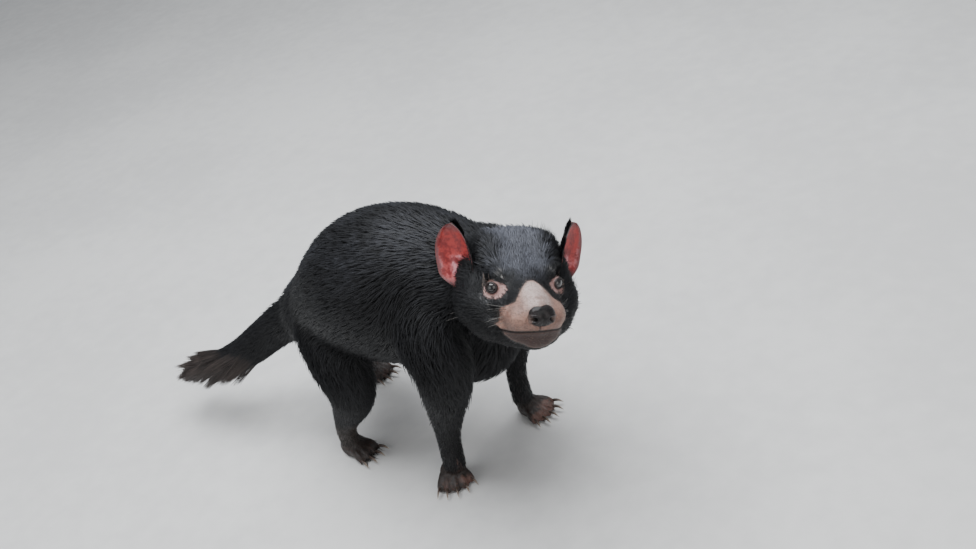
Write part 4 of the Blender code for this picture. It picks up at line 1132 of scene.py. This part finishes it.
def makeWhiskers():
    turn = headAt.to_3x3()
    dark, pale, brow = [], [], []
    for side, s in sideSign.items():
        for row in range(whiskerSet["rows"]):
            for k in range(whiskerSet["columns"]):
                x = whiskerSet["front"] - whiskerSet["columnGap"] * k - 0.0012 * row + rng.normal(0, 0.0005)
                z = whiskerSet["top"] - whiskerSet["rowGap"] * row + 0.0004 * k + rng.normal(0, 0.0004)
                hit = skinTree.ray_cast(headAt @ Vector((x, 0.05 * s, z)), turn @ Vector((0, -s, 0)))
                if hit[0] is None:
                    continue
                way = Vector((-0.62 - 0.07 * k + rng.normal(0, 0.06), (0.60 + 0.02 * k) * s,
                              -0.06 - 0.05 * row + rng.normal(0, 0.07)))
                length = (whiskerSet["short"] + whiskerSet["longer"] * k) * rng.uniform(0.85, 1.15)
                bend = turn @ Vector((-0.30, -0.22 * s, -0.10 - 0.03 * row))
                some = dark if (2 * row + 3 * k) % 5 < 3 else pale
                some.append((hit[0] - hit[1] * 0.0008, turn @ way.normalized(), length, bend))
        for k in range(whiskerSet["browHairs"]):  # over the eye
            x, y = (faceSet["brow"][0] - 1.2 * k + 1.5) / 1000, (faceSet["brow"][1] + 0.9 * k - 1.5) / 1000
            hit = skinTree.ray_cast(headAt @ Vector((x, y * s, 0.06)), turn @ Vector((0, 0, -1)))
            if hit[0] is None:
                continue
            way = turn @ Vector((-0.55 - 0.06 * k, (0.15 + 0.08 * k) * s, 0.62)).normalized()
            brow.append((hit[0] - hit[1] * 0.0008, way, whiskerSet["browLength"] * rng.uniform(0.7, 1.3),
                         turn @ Vector((-0.4, 0.1 * s, -0.1))))
    return {"dark": whiskerMesh("whiskers_dark", dark, whiskerSet["radius"]),
            "pale": whiskerMesh("whiskers_pale", pale, whiskerSet["radius"]),
            "brow": whiskerMesh("brow_hairs", brow, whiskerSet["browRadius"])}


def growMuzzleDown():
    # sparse short down on the bare muzzle and the eye rings
    count = 2600
    chance = np.maximum(skinMarks["bare"] * smoothStep(skinMarks["mouth"], 0.5, 0.1), 0.15
                        * skinMarks["ring"])
    chance = chance * (1 - skinMarks["lids"])
    places, normals, spots = scatter(chance, count)
    grow("muzzle_down", places, normals, lieOfCoat(places, normals), rng.uniform(0.0016, 0.0030, count),
         rng.uniform(0.00008, 0.00013, count), rng.uniform(0.06, 0.20, count), spots, free=True)


growBrush()
growMuzzleDown()
ears = {side: makeEar(side) for side in sideSign}
for side in sideSign:
    growEarHair(side)
nose = makeNose()
eyes = {side: makeEye(side) for side in sideSign}
claws = {(kind, side): makeClaws(kind, side) for kind in ("fore", "hind") for side in sideSign}
whiskers = makeWhiskers()
print("ears, nose, eyes, claws and whiskers made")


# the camera stands where the photograph was taken from
cameraSet = {"place": (0.826, -0.620, 0.806), "azimuth": 47, "elevation": 32, "roll": 18, "view": 44}


def makeCamera():
    a, e, r = [math.radians(cameraSet[k]) for k in ("azimuth", "elevation", "roll")]
    back = Vector((math.sin(a) * math.cos(e), -math.cos(a) * math.cos(e), math.sin(e)))
    right = (-back).cross(Vector((0, 0, 1))).normalized()
    up = back.cross(right)
    right, up = right * math.cos(r) - up * math.sin(r), up * math.cos(r) + right * math.sin(r)
    data = bpy.data.cameras.new("camera")
    data.sensor_fit = "HORIZONTAL"
    data.angle = math.radians(cameraSet["view"])
    data.clip_start = 0.01
    camera = bpy.data.objects.new("camera", data)
    turn = Matrix((right, up, back)).transposed()
    camera.matrix_world = Matrix.Translation(Vector(cameraSet["place"]) + shift) @ turn.to_4x4()
    scene.collection.objects.link(camera)
    scene.camera = camera


# soft light from above, weaker from the front and the side, and a pale floor
studioSet = {
    # name, place, aim, size, power, tint
    "lights": [("top", (-0.05, 0.10, 1.60), (0.0, 0.0, 0.12), 1.5, 46, (0.94, 0.97, 1.0)),
               ("front", (1.30, -0.40, 0.70), (0.05, 0.0, 0.12), 1.0, 4, (1.0, 0.98, 0.95)),
               ("side", (-0.20, -1.40, 0.80), (0.0, 0.0, 0.12), 1.0, 4, (1.0, 0.99, 0.97))],
    "sky": (0.84, 0.87, 0.92), "skyPower": 0.40, "floor": (0.74, 0.735, 0.72),
    "floorDark": (0.66, 0.655, 0.645),
    "floorSize": 12.0,
}


def makeStudio():
    for name, place, aim, size, power, tint in studioSet["lights"]:
        data = bpy.data.lights.new(name, "AREA")
        data.size = size
        data.energy = power
        data.color = tint
        lamp = bpy.data.objects.new(name, data)
        lamp.location = place
        lamp.rotation_euler = (Vector(aim) - Vector(place)).to_track_quat("-Z", "Y").to_euler()
        scene.collection.objects.link(lamp)
    world = scene.world or bpy.data.worlds.new("studio")
    scene.world = world
    world.use_nodes = True
    sky = world.node_tree.nodes["Background"]
    sky.inputs["Color"].default_value = (*studioSet["sky"], 1)
    sky.inputs["Strength"].default_value = studioSet["skyPower"]
    half = studioSet["floorSize"] / 2
    floor = meshObject("floor", [(-half, -half, -0.0002), (half, -half, -0.0002), (half, half, -0.0002),
                                 (-half, half, -0.0002)], [(0, 1, 2, 3)], smooth=False)
    return floor


makeCamera()
floor = makeStudio()
print("camera and studio set")


# finishes: small helpers, then the groups that more than one material uses
class nodeDesk:
    # one node tree and short ways to fill it
    def __init__(self, tree):
        self.tree = tree

    def add(self, kind, values=(), **settings):
        node = self.tree.nodes.new("ShaderNode" + kind)
        for name, value in settings.items():
            setattr(node, name, value)
        for socket, value in dict(values).items():
            self.put(node, socket, value)
        return node

    def put(self, node, socket, value):
        if isinstance(value, bpy.types.NodeSocket):
            self.tree.links.new(value, node.inputs[socket])
        elif value is not None:
            node.inputs[socket].default_value = (*value, 1) if isinstance(value,
                                                                          tuple) and len(value) == 3 and \
                node.inputs[socket].type == "RGBA" else value

    def math(self, operation, a, b=None, clamp=False):
        node = self.add("Math", operation=operation, use_clamp=clamp)
        self.put(node, 0, a)
        self.put(node, 1, b)
        return node.outputs[0]

    def mix(self, part, a, b, blend="MIX"):
        node = self.add("Mix", data_type="RGBA", blend_type=blend)
        self.put(node, 0, part)
        self.put(node, 6, a)
        self.put(node, 7, b)
        return node.outputs[2]

    def range(self, value, low, high, to=(0.0, 1.0)):
        node = self.add("MapRange", {"Value": value, "From Min": low, "From Max": high, "To Min": to[0],
                                     "To Max": to[1]}, interpolation_type="SMOOTHSTEP")
        return node.outputs[0]

    def mark(self, name):
        return self.add("Attribute", attribute_name=name).outputs["Fac"]

    def place(self):
        return self.add("TexCoord").outputs["Object"]

    def use(self, group, values=()):
        node = self.add("Group", node_tree=group)
        for socket, value in dict(values).items():
            self.put(node, socket, value)
        return node.outputs


def newGroup(name, inputs, outputs):
    group = bpy.data.node_groups.new(name, "ShaderNodeTree")
    for socket, kind, value in inputs:
        made = group.interface.new_socket(socket, in_out="INPUT", socket_type="NodeSocket" + kind)
        if value is not None:
            made.default_value = value
    for socket, kind in outputs:
        group.interface.new_socket(socket, in_out="OUTPUT", socket_type="NodeSocket" + kind)
    sheet = nodeDesk(group)
    return group, sheet, group.nodes.new("NodeGroupInput").outputs, group.nodes.new("NodeGroupOutput")


def newMaterial(name, **settings):
    # settings are the shader's own fixed values
    material = bpy.data.materials.new(name)
    material.use_nodes = True
    shader = material.node_tree.nodes["Principled BSDF"]
    for socket, value in settings.items():
        shader.inputs[socket.replace("_", " ")].default_value = value
    return material, nodeDesk(material.node_tree), shader


def makeMottle():
    # two sizes of soft blotches
    group, s, given, out = newGroup("mottle", [("Place", "Vector", None), ("Scale", "Float", 60.0),
                                               ("Fine Scale", "Float", 300.0)], [("Blotches", "Float")])
    broad = s.add("TexNoise", {"Vector": given["Place"], "Scale": given["Scale"],
                               "Detail": 3.0}).outputs["Fac"]
    fine = s.add("TexNoise", {"Vector": given["Place"], "Scale": given["Fine Scale"],
                              "Detail": 2.0}).outputs["Fac"]
    both = s.math("ADD", s.math("MULTIPLY", broad, 0.65), s.math("MULTIPLY", fine, 0.35))
    s.put(out, "Blotches", s.range(both, 0.36, 0.64))
    return group


def makeMarking():
    # lays a colour over another where a mark is, with an edge broken by blotches
    group, s, given, out = newGroup("marking", [
        ("Under", "Color", (0, 0, 0, 1)), ("Over", "Color", (1, 1, 1, 1)), ("Mark", "Float", 0.0),
        ("Blotches", "Float", 0.5), ("Break", "Float", 0.4)], [("Color", "Color")])
    window = s.math("MULTIPLY", s.math("MULTIPLY", given["Mark"], s.math("SUBTRACT", 1.0, given["Mark"])),
                    4.0)
    swing = s.math("MULTIPLY", s.math("MULTIPLY", s.math("SUBTRACT", given["Blotches"], 0.5), given["Break"]),
                   window)
    s.put(out, "Color", s.mix(s.range(s.math("ADD", given["Mark"], swing), 0.0, 1.0), given["Under"],
                              given["Over"]))
    return group


def makeHairTone():
    # a hair is darker at its root, and no two are the same
    group, s, given, out = newGroup("hair tone", [
        ("Root", "Color", (0, 0, 0, 1)), ("Tip", "Color", (1, 1, 1, 1)), ("Along", "Float", 0.5),
        ("Strand", "Float", 0.5), ("Blotches", "Float", 0.5), ("Variation", "Float", 0.4)],
                                    [("Color", "Color")])
    tone = s.mix(s.range(given["Along"], 0.0, 0.9), given["Root"], given["Tip"])
    swing = s.math("MULTIPLY", s.math("SUBTRACT", given["Strand"], 0.5), given["Variation"])
    swing = s.math("ADD", swing, s.math("MULTIPLY", s.math("SUBTRACT", given["Blotches"], 0.5), 0.35))
    bright = s.add("CombineColor")
    for k in range(3):
        s.put(bright, k, s.math("ADD", swing, 1.0))
    s.put(out, "Color", s.mix(1.0, tone, bright.outputs[0], "MULTIPLY"))
    return group


def makeSkinGrain():
    # pores and fine creases, as a height and as a mask of the pores
    group, s, given, out = newGroup("skin grain", [
        ("Place", "Vector", None), ("Pore Scale", "Float", 700.0), ("Crease Scale", "Float", 260.0),
        ("Creases", "Float", 0.5)], [("Height", "Float"), ("Pores", "Float")])
    cells = s.add("TexVoronoi", {"Vector": given["Place"], "Scale": given["Pore Scale"]}).outputs["Distance"]
    pores = s.range(cells, 0.34, 0.10)
    warp = s.add("TexVoronoi", {"Vector": given["Place"], "Scale": given["Crease Scale"]},
                 feature="DISTANCE_TO_EDGE").outputs["Distance"]
    creases = s.math("MULTIPLY", s.range(warp, 0.0, 0.22), given["Creases"])
    height = s.math("SUBTRACT", creases, s.math("MULTIPLY", pores, 0.5))
    s.put(out, "Height", height)
    s.put(out, "Pores", pores)
    return group


mottle, marking, hairTone, skinGrain = makeMottle(), makeMarking(), makeHairTone(), makeSkinGrain()

furSet = {
    "root": (0.0040, 0.0040, 0.0044), "tip": (0.0125, 0.0127, 0.0142),
    # the pale bluish crown tip on the next line is partly the crown fur's own colour and partly painted
    # sheen; on the top of the trunk it is painted sheen
    "crownAndSheenTip": (0.098, 0.102, 0.122), "shankTip": (0.075, 0.064, 0.058), "browTip": (0.13, 0.125, 0.12),
    "downTip": (0.20, 0.15, 0.125), "pawTip": (0.040, 0.028, 0.023),
    "brushRoot": (0.012, 0.010, 0.010), "brushTip": (0.052, 0.040, 0.036),
    "rough": (0.42, 0.62),
}


def furMaterial(name, root, tip, variation, **settings):
    material, s, shader = newMaterial(name, **settings)
    blotches = s.use(mottle, {"Place": s.place(), "Scale": 26.0, "Fine Scale": 120.0})["Blotches"]
    # the crown mark carries painted sheen on the crown and the top of the trunk as well as the crown fur's
    # own pale tips
    for mark, tone in (("crown", "crownAndSheenTip"), ("shank", "shankTip"), ("brow", "browTip"), ("paw", "pawTip"),
                       ("bare", "downTip"), ("ring", "downTip")):
        tip = s.use(marking, {"Under": tip, "Over": furSet[tone], "Mark": s.mark(mark), "Blotches": blotches,
                              "Break": 0.5})["Color"]
    colour = s.use(hairTone, {"Root": root, "Tip": tip, "Along": s.mark("along"), "Strand": s.mark("strand"),
                              "Blotches": blotches, "Variation": variation})["Color"]
    s.put(shader, "Base Color", colour)
    s.put(shader, "Roughness", s.range(s.mark("strand"), 0.0, 1.0, furSet["rough"]))
    return material


skinTones = {
    "under": (0.010, 0.0095, 0.0100), "shank": (0.060, 0.050, 0.045), "paw": (0.026, 0.018, 0.015),
    "toe": (0.120, 0.062, 0.048), "muzzle": (0.33, 0.190, 0.147), "muzzleDark": (0.185, 0.098, 0.076),
    # chin is painted shade under the jaw; dark is painted shade in the mouth's crease and at the inner brow,
    # and the lids' own dark rims
    "bridge": (0.47, 0.365, 0.335), "chin": (0.050, 0.029, 0.026), "ring": (0.47, 0.285, 0.260),
    "ringDark": (0.27, 0.150, 0.135), "brow": (0.20, 0.19, 0.18), "dark": (0.020, 0.013, 0.012),
    "pore": (0.62, 0.55, 0.52),
}


def skinMaterial():
    material, s, shader = newMaterial("bare skin and hide", Subsurface_Weight=0.06, Subsurface_Scale=0.004,
                                      Specular_IOR_Level=0.45)
    place = s.place()
    blotches = s.use(mottle, {"Place": place, "Scale": 90.0, "Fine Scale": 420.0})["Blotches"]
    grain = s.use(skinGrain, {"Place": place, "Pore Scale": 620.0, "Crease Scale": 330.0, "Creases": 0.6})
    muzzle = s.mix(blotches, skinTones["muzzleDark"], skinTones["muzzle"])
    ring = s.mix(blotches, skinTones["ringDark"], skinTones["ring"])
    colour = s.mix(blotches, skinTones["under"], (0.016, 0.015, 0.016))
    for mark, tone, ragged in (("shank", skinTones["shank"], 0.6), ("paw", skinTones["paw"], 0.3),
                               ("toe", skinTones["toe"], 0.9), ("brow", skinTones["brow"], 0.5),
                               ("bare", muzzle, 0.9), ("ring", ring, 0.8)):
        colour = s.use(marking, {"Under": colour, "Over": tone, "Mark": s.mark(mark), "Blotches": blotches,
                                 "Break": ragged})["Color"]
    snout = s.math("MULTIPLY", s.mark("bare"), s.mark("bridge"))
    colour = s.mix(s.math("MULTIPLY", snout, s.range(blotches, -0.6, 0.7)), colour, skinTones["bridge"])
    # painted shade under the jaw, along the mouth's crease, in the cleft under the nose and at the inner
    # brow; the lids' dark rims are their own colour
    for mark, tone in (("chin", skinTones["chin"]), ("mouth", skinTones["dark"]),
                       ("paintedBrowShade", skinTones["dark"]),
                       ("lids", skinTones["dark"])):
        colour = s.use(marking, {"Under": colour, "Over": tone, "Mark": s.mark(mark), "Blotches": blotches,
                                 "Break": 0.15})["Color"]
    bald = s.math("MAXIMUM", s.mark("bare"), s.mark("ring"))
    pores = s.math("MULTIPLY", s.math("MULTIPLY", grain["Pores"], 0.55), bald)
    colour = s.mix(pores, colour, s.mix(1.0, colour, skinTones["pore"], "MULTIPLY"))
    s.put(shader, "Base Color", colour)
    s.put(shader, "Roughness", s.range(blotches, 0.0, 1.0, (0.42, 0.60)))
    bump = s.add("Bump", {"Height": grain["Height"], "Strength": 0.35, "Distance": 0.0006})
    s.put(shader, "Normal", bump.outputs["Normal"])
    return material


# pink is painted highlight on the ear's ridges and low in its hollow
earTones = {"red": (0.43, 0.050, 0.045), "deep": (0.20, 0.020, 0.022), "pink": (0.66, 0.27, 0.30),
            "edge": (0.200, 0.075, 0.078), "back": (0.045, 0.030, 0.030), "foot": (0.050, 0.016, 0.018)}


def earMaterial():
    material, s, shader = newMaterial("ear skin", Subsurface_Weight=0.10, Subsurface_Scale=0.003)
    place = s.place()
    blotches = s.use(mottle, {"Place": place, "Scale": 120.0, "Fine Scale": 460.0})["Blotches"]
    grain = s.use(skinGrain, {"Place": place, "Pore Scale": 900.0, "Crease Scale": 420.0, "Creases": 0.4})
    vein = s.add("TexNoise", {"Vector": place, "Scale": 75.0, "Detail": 2.0,
                              "Distortion": 1.2}).outputs["Fac"]
    veins = s.math("MULTIPLY", s.range(s.math("ABSOLUTE", s.math("SUBTRACT", vein, 0.5)), 0.035, 0.0), 0.55)
    inside = s.mix(s.range(blotches, -0.2, 0.9), earTones["deep"], earTones["red"])
    # painted highlight on the ridges and low in the hollow
    inside = s.use(marking, {"Under": inside, "Over": earTones["pink"], "Mark": s.mark("pink"),
                             "Blotches": blotches,
                             "Break": 0.7})["Color"]
    inside = s.mix(veins, inside, earTones["deep"])
    inside = s.use(marking, {"Under": inside, "Over": earTones["edge"], "Mark": s.mark("edge"),
                             "Blotches": blotches, "Break": 0.8})["Color"]
    colour = s.mix(s.range(s.mark("inner"), 0.3, 0.7), earTones["back"], inside)
    colour = s.mix(s.range(s.mark("height"), 0.16, 0.02), colour, earTones["foot"])
    s.put(shader, "Base Color", colour)
    s.put(shader, "Roughness", s.range(blotches, 0.0, 1.0, (0.34, 0.52)))
    bump = s.add("Bump", {"Height": grain["Height"], "Strength": 0.25, "Distance": 0.0005})
    s.put(shader, "Normal", bump.outputs["Normal"])
    return material


# pit is painted shade in the nostrils; wing is partly the wings' own paler skin and partly a painted
# highlight
noseTones = {"black": (0.0060, 0.0052, 0.0055), "worn": (0.018, 0.014, 0.014), "wing": (0.16, 0.105, 0.090),
             "pit": (0.003, 0.002, 0.002)}


def noseMaterial():
    material, s, shader = newMaterial("moist nose leather", Coat_Weight=0.30, Coat_Roughness=0.12,
                                      Specular_IOR_Level=0.15)
    place = s.place()
    blotches = s.use(mottle, {"Place": place, "Scale": 220.0, "Fine Scale": 800.0})["Blotches"]
    grain = s.use(skinGrain, {"Place": place, "Pore Scale": 1100.0, "Crease Scale": 900.0, "Creases": 1.0})
    colour = s.mix(blotches, noseTones["black"], noseTones["worn"])
    # paler skin with a painted highlight on the wings, painted shade in the nostrils
    for mark in ("wing", "pit"):
        colour = s.use(marking, {"Under": colour, "Over": noseTones[mark], "Mark": s.mark(mark),
                                 "Blotches": blotches, "Break": 0.4})["Color"]
    s.put(shader, "Base Color", colour)
    s.put(shader, "Roughness", s.range(blotches, 0.0, 1.0, (0.28, 0.45)))
    bump = s.add("Bump", {"Height": grain["Height"], "Strength": 0.5, "Distance": 0.0003})
    s.put(shader, "Normal", bump.outputs["Normal"])
    return material


eyeTones = {"pupil": (0.002, 0.002, 0.002), "iris": (0.014, 0.007, 0.005), "irisDark": (0.006, 0.003, 0.003),
            "rim": (0.006, 0.004, 0.004), "white": (0.10, 0.055, 0.045)}


def eyeMaterial():
    material, s, shader = newMaterial("wet eye", Roughness=0.08, Coat_Weight=1.0, Coat_Roughness=0.02)
    place = s.place()
    off = s.mark("offAxis")
    rays = s.add("TexNoise", {"Vector": place, "Scale": 900.0, "Detail": 3.0}).outputs["Fac"]
    iris = s.mix(s.range(rays, 0.35, 0.65), eyeTones["irisDark"], eyeTones["iris"])
    colour = s.mix(s.range(off, 0.17, 0.21), eyeTones["pupil"], iris)
    colour = s.mix(s.range(off, 0.46, 0.52), colour, eyeTones["rim"])
    colour = s.mix(s.range(off, 0.56, 0.68), colour, eyeTones["white"])
    s.put(shader, "Base Color", colour)
    return material


clawTones = {"root": (0.060, 0.040, 0.030), "middle": (0.20, 0.150, 0.115), "tip": (0.50, 0.42, 0.33)}


def clawMaterial():
    material, s, shader = newMaterial("claw horn", Coat_Weight=0.15, Coat_Roughness=0.3)
    streak = s.add("Mapping", {"Vector": s.place(), "Scale": (260.0, 260.0, 1400.0)})
    lines = s.add("TexNoise", {"Vector": streak.outputs[0], "Scale": 1.0, "Detail": 3.0}).outputs["Fac"]
    tip = s.math("ADD", s.mark("tip"), s.math("MULTIPLY", s.math("SUBTRACT", lines, 0.5), 0.5))
    colour = s.mix(s.range(tip, 0.35, 0.65), clawTones["root"], clawTones["middle"])
    colour = s.mix(s.range(tip, 0.70, 1.0), colour, clawTones["tip"])
    s.put(shader, "Base Color", colour)
    s.put(shader, "Roughness", s.range(lines, 0.2, 0.8, (0.30, 0.50)))
    bump = s.add("Bump", {"Height": lines, "Strength": 0.3, "Distance": 0.0002})
    s.put(shader, "Normal", bump.outputs["Normal"])
    return material


def whiskerMaterial(name, root, tip):
    material, s, shader = newMaterial(name, Roughness=0.4)
    rings = s.use(mottle, {"Place": s.place(), "Scale": 200.0, "Fine Scale": 900.0})["Blotches"]
    colour = s.use(hairTone, {"Root": root, "Tip": tip, "Along": s.mark("along"), "Blotches": rings,
                              "Variation": 0.0})["Color"]
    s.put(shader, "Base Color", colour)
    return material


def floorMaterial():
    material, s, shader = newMaterial("pale floor", Roughness=0.85)
    blotches = s.use(mottle, {"Place": s.place(), "Scale": 3.0, "Fine Scale": 40.0})["Blotches"]
    s.put(shader, "Base Color", s.mix(blotches, studioSet["floorDark"], studioSet["floor"]))
    return material


def dress(obj, material, slot, *nodes):
    obj.data.materials.clear()
    obj.data.materials.append(material)
    if nodes:
        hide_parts(*nodes)
    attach(obj, "root")


fur = furMaterial("coat fur", furSet["root"], furSet["tip"], 0.8, Specular_IOR_Level=0.22)
brushHair = furMaterial("tail brush hair", furSet["brushRoot"], furSet["brushTip"], 1.0,
                        Specular_IOR_Level=0.3)
for obj in coatPieces:
    isBrush = obj.name.startswith("tail_brush")
    dress(obj, brushHair if isBrush else fur, "tail_hair" if isBrush else "coat")
legs = [f"{kind}_{part}_{side}" for kind in ("fore", "hind") for part in ("leg", "paw") for side in sideSign]
dress(skin, skinMaterial(), "coat", "torso", "neck", "head", "tail_base", "tail_tip", *legs)
earSkin, eyeGlass, clawHorn = earMaterial(), eyeMaterial(), clawMaterial()
for side in sideSign:
    dress(ears[side], earSkin, "ear_skin", "ear_" + side)
    dress(eyes[side], eyeGlass, "eye", "eye_" + side)
dress(nose, noseMaterial(), "nose_leather", "nose")
for (kind, side), obj in claws.items():
    dress(obj, clawHorn, "claw_horn", *[n for n in frame["nodes"] if n.startswith(f"claw_{kind}_{side}")])
dress(whiskers["dark"], whiskerMaterial("dark whisker", (0.010, 0.009, 0.009), (0.030, 0.028, 0.028)), "coat")
dress(whiskers["pale"], whiskerMaterial("grey whisker", (0.16, 0.15, 0.14), (0.42, 0.40, 0.38)), "coat")
dress(whiskers["brow"], whiskerMaterial("brow hair", (0.03, 0.03, 0.03), (0.13, 0.125, 0.12)), "coat")
floor.data.materials.append(floorMaterial())
for obj in [skin, nose, *ears.values(), *eyes.values(), *claws.values(), *whiskers.values()]:
    if "OFBake" not in obj.data.uv_layers:
        unwrap(obj)
triangles = 0
for obj in [skin, nose, *coatPieces, *ears.values(), *eyes.values(), *claws.values(), *whiskers.values()]:
    obj.data.calc_loop_triangles()
    triangles += len(obj.data.loop_triangles)
print("finishes laid on", len(coatPieces), "pieces of coat and the rest,", triangles, "triangles in all")

bpy.context.view_layer.update()
